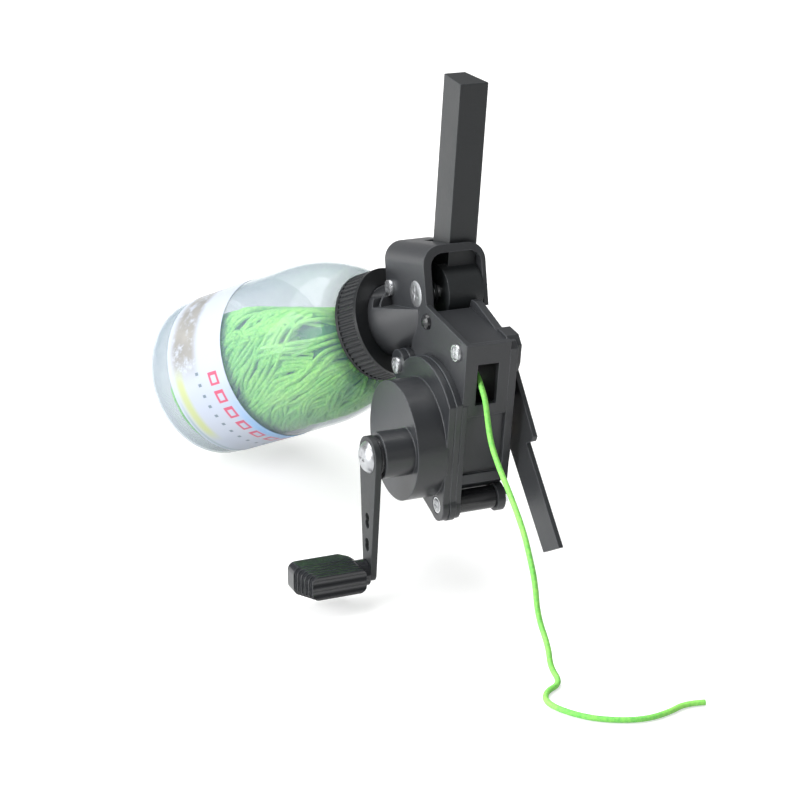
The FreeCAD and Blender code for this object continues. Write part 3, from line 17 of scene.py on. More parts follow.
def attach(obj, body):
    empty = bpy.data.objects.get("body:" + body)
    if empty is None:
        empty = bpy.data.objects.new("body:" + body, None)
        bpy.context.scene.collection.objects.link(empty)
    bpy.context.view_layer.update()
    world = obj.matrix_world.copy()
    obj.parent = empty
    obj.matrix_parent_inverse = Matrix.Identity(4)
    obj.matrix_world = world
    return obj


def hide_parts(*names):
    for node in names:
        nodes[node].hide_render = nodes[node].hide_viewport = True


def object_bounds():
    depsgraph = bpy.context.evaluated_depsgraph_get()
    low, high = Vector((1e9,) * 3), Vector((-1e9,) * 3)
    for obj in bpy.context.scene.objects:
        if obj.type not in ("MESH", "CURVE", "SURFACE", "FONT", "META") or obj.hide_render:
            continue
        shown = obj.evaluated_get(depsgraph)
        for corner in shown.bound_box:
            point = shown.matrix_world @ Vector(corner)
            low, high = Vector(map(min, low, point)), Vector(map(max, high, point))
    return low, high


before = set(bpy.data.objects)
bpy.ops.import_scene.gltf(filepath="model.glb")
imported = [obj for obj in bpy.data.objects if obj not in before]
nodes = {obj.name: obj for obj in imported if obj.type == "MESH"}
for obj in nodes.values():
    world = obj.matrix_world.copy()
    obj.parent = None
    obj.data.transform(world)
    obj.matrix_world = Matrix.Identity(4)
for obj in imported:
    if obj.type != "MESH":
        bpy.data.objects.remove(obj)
cad_box = [list(corner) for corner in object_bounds()]
print("parts in the frame:", len(nodes))
print("CAD box:", cad_box)

# %% [markdown]
# ## Where things are
# The CAD source measures from the drum's axis on the left wall and then moves every part so that
# the bow bolt hole is the origin. The same shift turns a workshop size in millimetres into a
# place here. The bottle group has an axis of its own, which leans down, back and to the left.

# %% Places in the workshop's millimetres
SHIFT = Vector((32.8, -7.0, 14.5))
BOTTLE_DROP = math.radians(30.4)
BOTTLE_SWING = math.radians(32.2)


def place(x, y, z):
    """A point given in the workshop's millimetres, as a point of this scene."""
    return (Vector((x, y, z)) - SHIFT) / 1000


bottle_axis = Vector((
    -math.cos(BOTTLE_DROP) * math.sin(BOTTLE_SWING),
    math.cos(BOTTLE_DROP) * math.cos(BOTTLE_SWING),
    -math.sin(BOTTLE_DROP),
))
bottle_far = bottle_axis.cross(Vector((0, 0, 1))).normalized()
bottle_up = bottle_far.cross(bottle_axis)
bottle_seat = place(1.4, 55.0, 32.0)
print("bottle axis:", [round(part, 3) for part in bottle_axis])

# %% [markdown]
# ## The camera
# The photograph looks down at the reel from the front left. A long lens flattens it a little, so
# the camera stands almost a metre away and sees about twenty degrees. A constraint could aim it
# at the reel, but a matrix of three directions gives its tilt as well: right, up and backwards.
# The drum's axis isn't at the picture's centre, which two small steps of the camera give.

# %% Camera at the photograph's angle
DISTANCE = 0.990
ASIDE, RAISED = -0.0155, 0.0155
HALF_PICTURE, FOCAL_LENGTH = 400, 2200  # in pixels

right = Vector((0.917, -0.396, 0.055)).normalized()
look = Vector((0.378, 0.815, -0.439))
look = (look - right * look.dot(right)).normalized()
above = right.cross(look)
eye = place(0, 0, 0) + right * ASIDE + above * RAISED - look * DISTANCE
camera_data = bpy.data.cameras.new("photo_camera")
camera_data.sensor_width = 36
camera_data.angle = 2 * math.atan(HALF_PICTURE / FOCAL_LENGTH)
camera_data.clip_start = 0.05
camera_data.clip_end = 50
camera = bpy.data.objects.new("photo_camera", camera_data)
camera.matrix_world = Matrix.Translation(eye) @ Matrix((right, above, -look)).transposed().to_4x4()
bpy.context.scene.collection.objects.link(camera)
bpy.context.scene.camera = camera
print("camera stands at:", [round(part, 3) for part in eye])

# %% [markdown]
# ## Shader sums as Python sums
# A finish often needs sums, such as a noise times a number. Python can read like the sum itself
# if a small class stands for a socket and turns each operator into a Math node. Every other node
# comes from one method, which sets the node's own options first and its sockets after.

# %% A socket that can be added and multiplied


class Value:
    """An output socket that Python's operators work on."""

    def __init__(self, finish, socket):
        self.finish = finish
        self.socket = socket

    def maths(self, operation, *numbers):
        inputs = dict(enumerate(numbers))
        return self.finish.node("ShaderNodeMath", {"operation": operation}, inputs)

    def __add__(self, other):
        return self.maths("ADD", self, other)

    def __radd__(self, other):
        return self.maths("ADD", other, self)

    def __sub__(self, other):
        return self.maths("SUBTRACT", self, other)

    def __rsub__(self, other):
        return self.maths("SUBTRACT", other, self)

    def __mul__(self, other):
        return self.maths("MULTIPLY", self, other)

    def __rmul__(self, other):
        return self.maths("MULTIPLY", other, self)

    def __pow__(self, other):
        return self.maths("POWER", self, other)

    def __rpow__(self, other):
        return self.maths("POWER", other, self)

    def above(self, other):
        """1 where this value is more than the other, and 0 elsewhere."""
        return self.maths("GREATER_THAN", self, other)

    def sine(self):
        return self.maths("SINE", self)

    def beat(self, pace):
        """Runs from 0 to 1 again and again, that many times per unit."""
        return self.maths("FRACT", self * pace)


print("values take +, -, * and **")

# %% [markdown]
# ## A finish and its nodes
# A Blender material is a tree of nodes. Building it by hand takes three lines per node, so this
# class makes a node in one call. Its other methods are the few patterns that come again in most
# finishes: a colour between two others, soft noise, and a relief over softened edges.

# %% A finish
finishes = {}


class Finish:
    """A material and the nodes behind it."""

    def __init__(self, name):
        material = bpy.data.materials.new(name)
        material.use_nodes = True
        self.tree = material.node_tree
        self.shader = self.tree.nodes["Principled BSDF"]
        finishes[name] = material

    def feed(self, socket, given):
        if isinstance(given, Value):
            self.tree.links.new(given.socket, socket)
        else:
            socket.default_value = given

    def node(self, kind, settings=None, inputs=None, output=0):
        """A node of that type, its options set first, then its sockets."""
        made = self.tree.nodes.new(kind)
        for option, setting in (settings or {}).items():
            if option == "stops":
                ramp = made.color_ramp.elements
                while len(ramp) < len(setting):
                    ramp.new(1.0)
                for stop, (position, colour) in zip(ramp, setting):
                    stop.position = position
                    stop.color = colour
            else:
                setattr(made, option, setting)
        for socket, given in (inputs or {}).items():
            self.feed(made.inputs[socket], given)
        return Value(self, made.outputs[output])

    def surface(self, **given):
        """Sets sockets of the main shader, such as base_color or roughness."""
        for socket, setting in given.items():
            name = socket.replace("_", " ").title().replace("Ior", "IOR")
            self.feed(self.shader.inputs[name], setting)

    def blend(self, factor, first, second):
        """A colour between two others. The Mix node's colour sockets are 6 and 7, and 2 out."""
        inputs = {0: factor, 6: first, 7: second}
        return self.node("ShaderNodeMix", {"data_type": "RGBA"}, inputs, output=2)

    def spot(self):
        """Where the shaded spot is, in the object's own metres."""
        return self.node("ShaderNodeTexCoord", output="Object")

    def dot(self, first, second):
        """How far one vector runs along another."""
        inputs = {0: first, 1: second}
        return self.node("ShaderNodeVectorMath", {"operation": "DOT_PRODUCT"}, inputs, "Value")

    def noise(self, scale, detail=3.0, roughness=0.55):
        """Soft noise from 0 to 1."""
        inputs = {"Scale": scale, "Detail": detail, "Roughness": roughness, "Vector": self.spot()}
        return self.node("ShaderNodeTexNoise", None, inputs)

    def bump(self, height, strength, distance, edges=None):
        """A relief from a height, over softened edges where their radius is given."""
        inputs = {"Height": height, "Strength": strength, "Distance": distance}
        if edges:
            inputs["Normal"] = self.node("ShaderNodeBevel", {"samples": 4}, {"Radius": edges})
        return self.node("ShaderNodeBump", None, inputs)


def rgb(red, green, blue):
    return (red, green, blue, 1.0)


def shade(colour, times):
    """A lighter or darker kind of a colour."""
    return rgb(*[part * times for part in colour])


print("shader helpers are ready")

# %% [markdown]
# ## Black mouldings
# The body, the gear case and the side plate are moulded in black plastic. It isn't black to the
# eye: a satin face turned to the light reads as mid grey, and only inner corners go dark. A wide
# and a fine noise vary the colour and the shine a little, and a very fine one is the mould's grain.
# The edges of a real moulding are never sharp. Real fillets would take many faces, so a Bevel node
# softens the edges in the shading. Where its normal leaves the face's own, an edge is near, and a
# painted highlight lightens the plastic there, on inner corners too, as the glint that edges catch.

# %% Satin and glossy black plastic
GRAIN_DEPTH = 0.0004


def black_plastic(name, colour, shine, grain, edge, gleam=0.5):
    """A black finish: its colour, roughness, grain, edge radius and strength of reflection."""
    finish = Finish(name)
    patches = finish.noise(45, 4.0)
    dust = finish.noise(420, 2.0)
    tint = finish.blend(patches * 0.6 + dust * 0.2, rgb(*colour), shade(colour, 1.5))
    softened = finish.node("ShaderNodeBevel", {"samples": 6}, {"Radius": edge})
    straight = finish.node("ShaderNodeNewGeometry", output="Normal")
    # Painted highlight: a lighter colour where the softened normal leaves the face, as a glint on
    # edges.
    edge_glint = (1.0 - finish.dot(softened, straight)).above(0.06) * 0.55
    finish.surface(
        base_color=finish.blend(edge_glint, tint, shade(colour, 5.0)),
        roughness=patches * 0.12 + dust * 0.06 + shine,
        normal=finish.bump(finish.noise(1500, 1.0), grain, GRAIN_DEPTH, edge),
        specular_ior_level=gleam,
    )
    return finish


black_plastic("satin_black", (0.021, 0.0225, 0.025), 0.33, 0.10, 0.0006)
black_plastic("cover_black", (0.019, 0.0205, 0.023), 0.22, 0.06, 0.0009)
black_plastic("gloss_black", (0.012, 0.0125, 0.014), 0.14, 0.04, 0.0006)
black_plastic("lever_black", (0.013, 0.0148, 0.016), 0.40, 0.16, 0.0007, 0.42)
black_plastic("collar_black", (0.010, 0.011, 0.012), 0.33, 0.10, 0.0003, 0.3)
print("black finishes:", sorted(finishes))

# %% [markdown]
# ## The paddle's front
# The crank's paddle is ribbed for the fingers. The CAD shape has stepped ribs that run round it,
# but its front face is flat, where the real one has low rounded ribs. They could be cut in the
# mesh. The CAD shape is kept here, so a wave up the paddle gives them in the shading, and only on
# faces that look forward.

# %% Rounded ribs on the paddle
RIB_PITCH = 0.0048
knob = black_plastic("knob_black", (0.010, 0.011, 0.013), 0.14, 0.04, 0.0006)
height = knob.node("ShaderNodeSeparateXYZ", None, {"Vector": knob.spot()}, output="Z")
facing = knob.node("ShaderNodeTexCoord", output="Normal")
ribs = (height * (2 * math.pi / RIB_PITCH)).sine() * knob.dot(facing, (0, -1, 0)).above(0.8)
knob.surface(normal=knob.bump(ribs, 0.8, 0.0007, 0.0006))
print("one rib is", RIB_PITCH * 1000, "mm high")

# %% [markdown]
# ## Metal
# The screws are zinc plated steel: bright, with faint turning marks. The shafts and the nuts take
# the same finish, and the bearings a warm bronze one. Bare metal is a high Metallic value with a
# low roughness, and noises keep both from being the same all over. The domed heads get a darker
# and duller finish, because polished domes mirror the lamps as white spots.

# %% Plated steel and bronze


def bare_metal(name, colour, shine):
    """A metal with turning marks, from its colour and its least roughness."""
    finish = Finish(name)
    marks = finish.noise(900, 2.0)
    spots = finish.noise(160, 3.0)
    finish.surface(
        base_color=finish.blend(spots, rgb(*colour), shade(colour, 0.72)),
        metallic=finish.noise(250, 1.0) * 0.1 + 0.72,
        roughness=spots * 0.18 + shine,
        normal=finish.bump(marks, 0.12, 0.0002, 0.0002),
    )


bare_metal("plated_steel", (0.80, 0.81, 0.83), 0.14)
bare_metal("bearing_bronze", (0.58, 0.40, 0.20), 0.26)
bright = Finish("bright_head")
smear = bright.noise(420, 3.0)
bright.surface(
    base_color=bright.blend(smear, rgb(0.48, 0.49, 0.50), rgb(0.34, 0.35, 0.37)),
    metallic=smear * 0.08 + 0.78,
    roughness=smear * 0.16 + 0.22,
    normal=bright.bump(smear, 0.05, 0.0002),
)
print("metal finishes are ready")

# %% [markdown]
# ## The pieces inside
# The wheel, the gears, the roller and the gasket are hidden or half hidden, but they show in the
# gaps and when the reel is taken apart. They could share one grey, but natural nylon for the wheel
# and the gears and dull rubber for the rest tell them apart.

# %% Nylon and rubber
nylon = Finish("gear_nylon")
cloud = nylon.noise(60, 3.0)
nylon.surface(
    base_color=nylon.blend(cloud, rgb(0.70, 0.69, 0.63), rgb(0.60, 0.59, 0.53)),
    roughness=cloud * 0.15 + 0.38,
    normal=nylon.bump(nylon.noise(1100, 1.0), 0.1, 0.0003, 0.0003),
)

rubber = Finish("soft_rubber")
bloom = rubber.noise(70, 5.0)
rubber.surface(
    base_color=rubber.blend(bloom, rgb(0.016, 0.016, 0.017), rgb(0.04, 0.04, 0.041)),
    roughness=bloom * 0.2 + 0.66,
    normal=rubber.bump(rubber.noise(1400, 2.0), 0.3, 0.0004, 0.0003),
)
print("nylon and rubber are ready")

# %% [markdown]
# ## The line
# The line is a braid in a bright lime, with painted shade in darker green where its plaits dip.
# They are far too fine to model one by one, so fine noises stand for them, one in the colour and
# one as a relief. A wide noise adds a slow change of tone along the line.

# %% Lime braid


def lime_braid(name, light, dip_shade):
    """A braid's finish, from its light tone and the painted shade in its dips."""
    finish = Finish(name)
    fibre = finish.noise(700, 3.0, 0.6)
    patch = finish.noise(35, 2.0)
    # The darker stop is painted shade where the plaits dip.
    stops = [(0.34, rgb(*dip_shade)), (0.62, rgb(*light))]
    finish.surface(
        base_color=finish.node(
            "ShaderNodeValToRGB", {"stops": stops}, {"Fac": fibre * 0.55 + patch * 0.45}
        ),
        roughness=fibre * 0.2 + 0.5,
        normal=finish.bump(finish.noise(2200, 2.0), 0.45, 0.0004),
    )


lime_braid("lime_line", (0.46, 0.96, 0.17), (0.13, 0.58, 0.10))
lime_braid("lime_tail", (0.31, 0.78, 0.14), (0.11, 0.54, 0.09))
lime_braid("lime_shade", (0.05, 0.34, 0.07), (0.02, 0.20, 0.05))
print("line finishes are ready")

# %% [markdown]
# ## Places on the bottle, for its finishes
# The bottle's finishes change along its axis and round it. A dot product with the axis gives how
# far along a spot lies, two more give how high and how near it is, and those give its angle.

# %% Along and round the bottle


def round_bottle(finish):
    """How far along the bottle's axis a spot is, in metres, and its angle round it, in radians."""
    inputs = {0: finish.spot(), 1: bottle_seat}
    from_seat = finish.node("ShaderNodeVectorMath", {"operation": "SUBTRACT"}, inputs)
    along, high, near = (
        finish.dot(from_seat, way) for way in (bottle_axis, bottle_up, -bottle_far)
    )
    return along, high.maths("ARCTAN2", high, near)


def step(given, start, end):
    """A smooth rise from 0 to 1 while the given value goes from start to end."""
    inputs = {"Value": given, "From Min": start, "From Max": end}
    return given.finish.node("ShaderNodeMapRange", {"interpolation_type": "SMOOTHSTEP"}, inputs)


def band(given, low, high, soft):
    """1 between two limits and 0 outside, with soft ends."""
    return step(given, low - soft, low + soft) * (1.0 - step(given, high - soft, high + soft))


print("one turn round the bottle is", round(2 * math.pi, 3), "radians")

# %% [markdown]
# ## The bottle's finish
# Thin clear plastic is seen by its edges: face on it is nearly invisible, and towards the edge it
# turns into a pale blue veil. Glass with refraction could do this too, but it renders slowly, and
# the line behind it turns noisy. Layer Weight gives the angle at which a face is seen, and drives
# the alpha. The plastic is thicker, and so less clear, at the shoulder and at the far end.

# %% Clear bottle
clear = Finish("clear_bottle")
rim = clear.node("ShaderNodeLayerWeight", None, {"Blend": 0.35}, output="Facing")
haze = clear.noise(18, 3.0)
along, angle = round_bottle(clear)
shoulder = 1.0 - step(along, 0.0150, 0.0185)
bottom = step(along, 0.110, 0.126)
clear.surface(
    base_color=clear.blend(haze, rgb(0.24, 0.33, 0.41), rgb(0.32, 0.40, 0.48)),
    roughness=haze * 0.08 + 0.05,
    alpha=(rim**2.2) * 0.42 + haze * 0.12 + bottom * 0.10 + shoulder * 0.10 + 0.15,
)
print("clear bottle is ready")

# %% [markdown]
# ## The label
# The label is a pale printed film. Its print is a plain one of soft fields: a blue wash along the
# front edge, a mottled grey field high up, a thin yellow green crescent, a shadow line, a row of
# red bars and a row of small dark dashes. Each field is a mask, made of bands along the bottle and
# round it, and the inks go on one after the other, as in a print. A picture could do the same, but
# masks stay sharp at any size.

# %% Where each ink lies
film = Finish("label_film")
along, angle = round_bottle(film)
wash = film.noise(26, 4.0)
reeds = film.noise(190, 6.0, 0.75)
drift = film.noise(60, 3.0)
blue_wash = band(along, 0.074, 0.081, 0.004) * (1.0 - step(angle, -0.9, 0.2))
high_field = band(along, 0.093, 0.109, 0.003) * step(angle, 0.05, 0.5)
mottle = high_field * step(reeds + drift * 0.25, 0.44, 0.64)
crescent = band(along, 0.1035, 0.1085, 0.0018) * band(angle, -0.65, 0.25, 0.15)
shadow_line = band(along, 0.1095, 0.1110, 0.0006) * (1.0 - step(angle, -0.4, 0.1))
bar_beat, dash_beat = angle.beat(4.2), angle.beat(7.0)
bar_row = band(along, 0.0805, 0.0865, 0.0003) * band(angle, -1.45, 0.25, 0.01)
bar_window = band(along, 0.0819, 0.0851, 0.0003) * band(bar_beat, 0.22, 0.62, 0.01)
bars = bar_row * band(bar_beat, 0.10, 0.80, 0.01) * (1.0 - bar_window)
dash_row = band(along, 0.0925, 0.0945, 0.0003) * band(angle, -1.4, 0.3, 0.01)
dashes = dash_row * band(dash_beat, 0.35, 0.62, 0.02)
print("masks of the label are ready")

# %% The inks, one over the other
tone = film.blend(wash, rgb(0.58, 0.60, 0.67), rgb(0.43, 0.51, 0.64))
grey_ink = film.blend(drift, rgb(0.10, 0.10, 0.09), rgb(0.40, 0.38, 0.33))
for mask, ink in (
    (blue_wash * 0.95, rgb(0.24, 0.48, 0.82)),
    (mottle * 0.85, grey_ink),
    (crescent * 0.8, rgb(0.50, 0.56, 0.20)),
    (shadow_line * 0.6, rgb(0.22, 0.34, 0.36)),
    (bars * 0.9, rgb(0.62, 0.05, 0.13)),
    (dashes * 0.8, rgb(0.10, 0.16, 0.20)),
):
    tone = film.blend(mask, tone, ink)
near_side = step(angle.maths("COSINE", angle), -0.25, 0.15)
film.surface(
    base_color=tone, roughness=wash * 0.1 + 0.3, alpha=near_side * 0.74 + wash * 0.12 + 0.06
)
print("printed film is ready")

# %% [markdown]
# ## Dressing the CAD parts
# Each part of the frame keeps its shape here and takes the finish of its material. One line per
# part would do it, but a table from finish to parts reads like a parts list, and the count at the
# end shows that none is left bare.

# %% Which part takes which finish
WEARS = {
    "satin_black": ["main_frame", "side_plate", "bow_bracket"],
    "cover_black": ["gear_plate", "gear_cover"],
    "lever_black": ["trigger_lever", "return_spring", "crank_arm"],
    "knob_black": ["crank_knob"],
    "gloss_black": ["front_spacer", "stop_peg", "crank_bushing"],
    "collar_black": ["bottle_collar"],
    "plated_steel": [
        "body_screws", "body_nuts", "pivot_screw", "pivot_nut", "crank_screw", "crank_shaft",
        "drive_shaft", "knob_pin", "pinch_axle", "bracket_bolts",
    ],
    "bearing_bronze": ["left_bearing", "right_bearing"],
    "gear_nylon": ["drive_wheel", "ring_gear", "crank_pinion"],
    "soft_rubber": ["drive_tyre", "pinch_roller", "neck_gasket"],
    "lime_line": ["line_hank", "line_core", "free_line", "inner_line"],
    "clear_bottle": ["bottle"],
    "label_film": ["bottle_label"],
}
for finish_name, wearers in WEARS.items():
    for wearer in wearers:
        worn_by = nodes[wearer].data.materials
        worn_by.clear()
        worn_by.append(finishes[finish_name])
print("dressed", sum(len(wearers) for wearers in WEARS.values()), "of", len(nodes))

# %% [markdown]
# ## The loose line
# The tail of the line leaves the window, hangs down in front of the body and lies on the floor in
# a long curl. A second stretch runs inside, from the bottle to the window. A tube of faces could
# show both, but a curve with a round bevel is simpler, and its length is easy to measure. The
# points are the CAD route's own, and a NURBS curve runs smoothly past them.

# %% Helpers for cords


def show(name, data, finish_name):
    """An object with that data and finish, put into the scene."""
    made = bpy.data.objects.new(name, data)
    bpy.context.scene.collection.objects.link(made)
    data.materials.append(finishes[finish_name])
    return made


def add_spline(data, spots):
    """One more smooth line of a curve, through its control points."""
    spline = data.splines.new("NURBS")
    spline.points.add(len(spots) - 1)
    for point, spot in zip(spline.points, spots):
        point.co = (*spot, 1)
    spline.order_u = 3
    spline.use_endpoint_u = True


def cord(name, points, thickness, finish_name):
    """A round cord along listed points, all given in millimetres."""
    data = bpy.data.curves.new(name, "CURVE")
    data.dimensions = "3D"
    data.bevel_depth = thickness / 2000
    data.bevel_resolution = 5
    data.resolution_u = 12
    data.use_fill_caps = True
    add_spline(data, [place(*point) for point in points])
    return show(name, data, finish_name)


def cord_length(made):
    """The curve's length along its own line, in metres."""
    depth = made.data.bevel_depth
    made.data.bevel_depth = 0
    mesh = bpy.data.meshes.new_from_object(made)
    made.data.bevel_depth = depth
    spots = [vertex.co for vertex in mesh.vertices]
    return sum((b - a).length for a, b in zip(spots, spots[1:]))


print("cord helpers are ready")

# %% The line's two stretches
LINE_THICKNESS = 2.5
WINDOW = (9.0, -21.5, 36.6)
FREE_LINE = [
    WINDOW,
    (8.04, -26.3, 35.533),
    (8.9, -30.0, 29.8),
    (10.0, -31.5, 20.4),
    (10.2, -35.6, 11.9),
    (10.2, -44.0, 5.2),
    (10.2, -58.5, -3.0),
    (10.2, -72.5, -12.6),
    (10.2, -80.0, -21.3),
    (10.6, -85.8, -30.0),
    (12.0, -88.5, -46.0),
    (12.5, -99.5, -55.0),
    (12.0, -103.5, -62.5),
    (13.5, -111.5, -66.0),
    (3.5, -115.5, -66.0),
    (0.5, -124.0, -66.0),
    (10.0, -136.5, -66.0),
    (22.0, -143.5, -66.0),
    (35.0, -147.0, -66.0),
    (47.0, -145.5, -66.0),
    (56.5, -142.0, -66.0),
    (65.0, -144.0, -66.0),
]
INNER_LINE = [
    (-2.6, 61.4, 27.5),
    (1.8, 54.4, 32.4),
    (6.4, 46.4, 36.2),
    (9.4, 38.6, 29.0),
    (11.3, 30.2, 19.2),
    (12.0, 21.5, 16.0),
    (12.0, 13.46, 17.7),
    (12.0, 3.6, 25.8),
    (10.9, -9.0, 35.4),
    (9.9, -17.0, 37.6),
    WINDOW,
]
for name, node, points, far_end in (
    ("line_tail", "free_line", FREE_LINE, "bare"),
    ("line_inside", "inner_line", INNER_LINE, "object"),
):
    piece = cord(name, points, LINE_THICKNESS, "lime_tail")
    length = cord_length(piece)
    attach(piece, "frame")
    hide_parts(node)
    print(name, "is", round(length, 4), "m long")

# %% [markdown]
# ## Domed screw heads
# The screws' heads are bright domes with a cross recess. A dome could be a scaled sphere, but a
# sphere has no cross. So each head is a round net of vertices that sits over the head of the CAD
# screw, and the vertices within the cross are pushed in.

# %% Rows of vertices
HEAD_RINGS, HEAD_SIDES = 26, 96


def join_rows(mesh, rows):
    """Faces between neighbouring closed rows of vertices."""
    for first, second in zip(rows, rows[1:]):
        for side in range(len(first)):
            after = (side + 1) % len(first)
            mesh.faces.new((first[side], second[side], second[after], first[after]))


def from_bmesh(name, mesh, finish_name):
    """An object made from a mesh that is ready, and freed here."""
    data = bpy.data.meshes.new(name)
    mesh.to_mesh(data)
    mesh.free()
    return show(name, data, finish_name)


print("a dome has", HEAD_RINGS * HEAD_SIDES, "places in its net")

# %% One dome


def head_dome(mesh, base, radius, skirt, dome, power, cross):
    """A dome that points to the left, on a base given in workshop millimetres."""
    half_width, half_length, depth = cross

    def height_at(across, up):
        height = skirt + dome * (1 - (math.hypot(across, up) / radius) ** power)
        narrow, wide = sorted((abs(across), abs(up)))
        if narrow < half_width and wide < half_length:
            flank = min(1, (half_width - narrow) / half_width * 2.5)
            height -= depth * (1 - 0.7 * wide / half_length) * flank
        return height

    def vertex(across, up, height):
        return mesh.verts.new(place(base[0] - height, base[1] + across, base[2] + up))

    ways = [2 * math.pi * side / HEAD_SIDES for side in range(HEAD_SIDES)]
    middle = vertex(0, 0, height_at(0, 0))
    rows = []
    for ring in range(1, HEAD_RINGS + 1):
        out = radius * (ring / HEAD_RINGS) ** 0.8
        spots = [(out * math.cos(way), out * math.sin(way)) for way in ways]
        rows.append([vertex(across, up, height_at(across, up)) for across, up in spots])
    rows.append([vertex(radius * math.cos(way), radius * math.sin(way), 0) for way in ways])
    for side in range(HEAD_SIDES):
        mesh.faces.new((middle, rows[0][(side + 1) % HEAD_SIDES], rows[0][side]))
    join_rows(mesh, rows)


print("one dome is ready to be repeated")

# %% All the heads
# radius, straight side, dome, roundness, and the cross: half width, half length, depth
PAN = (3.74, 1.2, 0.95, 3.0, (0.62, 2.1, 0.5))
FLAT = (6.02, 0.02, 0.42, 4.0, (0.95, 3.4, 0.36))
CRANK = (7.24, 0.02, 3.06, 4.0, (0.68, 3.1, 0.8))
HEADS = {
    "screw_domes": ("frame", [
        ((0.0, 56.5, 48.4), *PAN),
        ((-6.3, 29.8, 21.9), *PAN),
        ((-4.6, -20.0, -24.7), *PAN),
        ((0.0, -17.4, 48.3), *PAN),
        ((0.0, 28.9, 56.8), *FLAT),
    ]),
    "crank_dome": ("crank", [((-38.7, -14.392, 1.767), *CRANK)]),
}
for name, (body, heads) in HEADS.items():
    mesh = bmesh.new()
    for head in heads:
        head_dome(mesh, *head)
    bmesh.ops.recalc_face_normals(mesh, faces=mesh.faces)
    piece = from_bmesh(name, mesh, "bright_head")
    for face in piece.data.polygons:
        face.use_smooth = True
    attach(piece, body)
    print(name, "has", len(piece.data.polygons), "faces")

# %% [markdown]
# ## Lip over the bottle's mouth
# A small web closes the top of the mouth, between the neck's bulge and the collar. Without it one
# would look past the bulge into the bottle. It is a segment of a disc that stands across the
# passage, above the line. A cylinder could be cut to it, but two outlines and the faces between
# them are less work.

# %% Web across the top of the mouth
LIP_RADIUS = 14.2
LIP_FACES_AT = (-5.1, -4.1)
LIP_FOOT = [(-6.79, 5.2), (0.0, 5.0), (6.79, 5.2)]


def in_bottle(along, near, high):
    """A point from its workshop millimetres along, towards the viewer and up from the axis."""
    return bottle_seat + (bottle_axis * along - bottle_far * near + bottle_up * high) / 1000


turns = [math.radians(24 + 132 * number / 16) for number in range(17)]
arc = [(LIP_RADIUS * math.cos(turn), LIP_RADIUS * math.sin(turn)) for turn in turns]
mesh = bmesh.new()
outlines = [
    [mesh.verts.new(in_bottle(along, near, high)) for near, high in arc + LIP_FOOT]
    for along in LIP_FACES_AT
]
mesh.faces.new(outlines[0])
mesh.faces.new(list(reversed(outlines[1])))
join_rows(mesh, outlines)
bmesh.ops.recalc_face_normals(mesh, faces=mesh.faces)
lip = from_bmesh("mouth_lip", mesh, "satin_black")
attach(lip, "frame")
print("lip faces:", len(lip.data.polygons))

# %% [markdown]
# ## The line inside the bottle
# The bottle holds a loose heap of line. The heap leans on the wall that faces the viewer and is
# lower on the far side. Its skin is therefore the nearer of two things, seen from its middle: the
# bottle's wall, or a slanting crest. Physics could drop a heap into the bottle, but it takes long
# and its form can't be chosen, while a skin with strands laid on it can follow the photograph.

# %% The heap's outline
WALL = [
    (13.5, 19.0), (15.0, 25.5), (17.5, 29.0), (20, 30.8), (27, 33.4), (34, 35.2), (41, 36.4),
    (52, 37.2), (120, 37.2),
]
CREST = [(14, 9), (20, 10.8), (35, 14.5), (50, 18.3), (65, 22), (80, 23), (96, 12), (118, -8)]
WALL_GAP = 1.3
CREST_TILT = 0.34
MIDDLE_DEPTH = 14.0
HEAP_START, HEAP_END = 14.6, 116.0


def between(table, spot):
    """The value that a table of pairs gives at a spot, in straight steps."""
    for (before, low), (after, high) in zip(table, table[1:]):
        if spot <= after:
            return low + (high - low) * max(0.0, (spot - before) / (after - before))
    return table[-1][1]


def in_heap(along):
    """The same place along the axis, kept between the heap's ends."""
    return min(max(along, HEAP_START), HEAP_END)


def heap_reach(along, turn, lift=0.0):
    """How far the heap's skin is from its middle, which lies below the bottle's axis."""
    wall = between(WALL, along) - WALL_GAP
    rise, run = math.sin(turn), math.cos(turn)
    to_wall = MIDDLE_DEPTH * rise + math.sqrt(wall**2 - (MIDDLE_DEPTH * run) ** 2)
    slope = rise - CREST_TILT * run
    if slope < 0.02:
        return to_wall
    return min(to_wall, (between(CREST, along) + MIDDLE_DEPTH + lift) / slope)


def heap_spot(along, turn, share, lift=0.0):
    """A spot of the heap, at a share of the way from its middle to its skin."""
    along = in_heap(along)
    reach = heap_reach(along, turn, lift) * share
    return in_bottle(along, reach * math.cos(turn), reach * math.sin(turn) - MIDDLE_DEPTH)


print("heap from", round((heap_spot(14, 0, 1) - bottle_seat).length, 4), "m")

# %% [markdown]
# ## Bundles of strands
# Loose braid lies in small bundles. On the near side they run down and away from the collar,
# steeper where the bottle is full, and on the far side they come back. Each bundle walks over the
# skin in short steps, turned by slow waves, and its strands start and end a little inside the heap
# so that no cut end shows. The draws are seeded, and the heap is the same in each run.

# %% One bundle
STRAND_RADIUS = 1.12
STRAND_SPACING = 2.15
STRIDE = 5.5
FULL_TURN = 6.28
NECK_LEAN, LEANS_MORE_FROM, LEANS_MORE_BY = 12, 30, 0.62
random.seed(11)
loops_data = bpy.data.curves.new("line_loops", "CURVE")
loops_data.dimensions = "3D"
loops_data.bevel_depth = STRAND_RADIUS / 1000
loops_data.bevel_resolution = 1
loops_data.resolution_u = 3


def flow(along):
    """The strands' angle to the bottle's axis at that place, in radians."""
    return math.radians(NECK_LEAN + max(0.0, along - LEANS_MORE_FROM) * LEANS_MORE_BY)


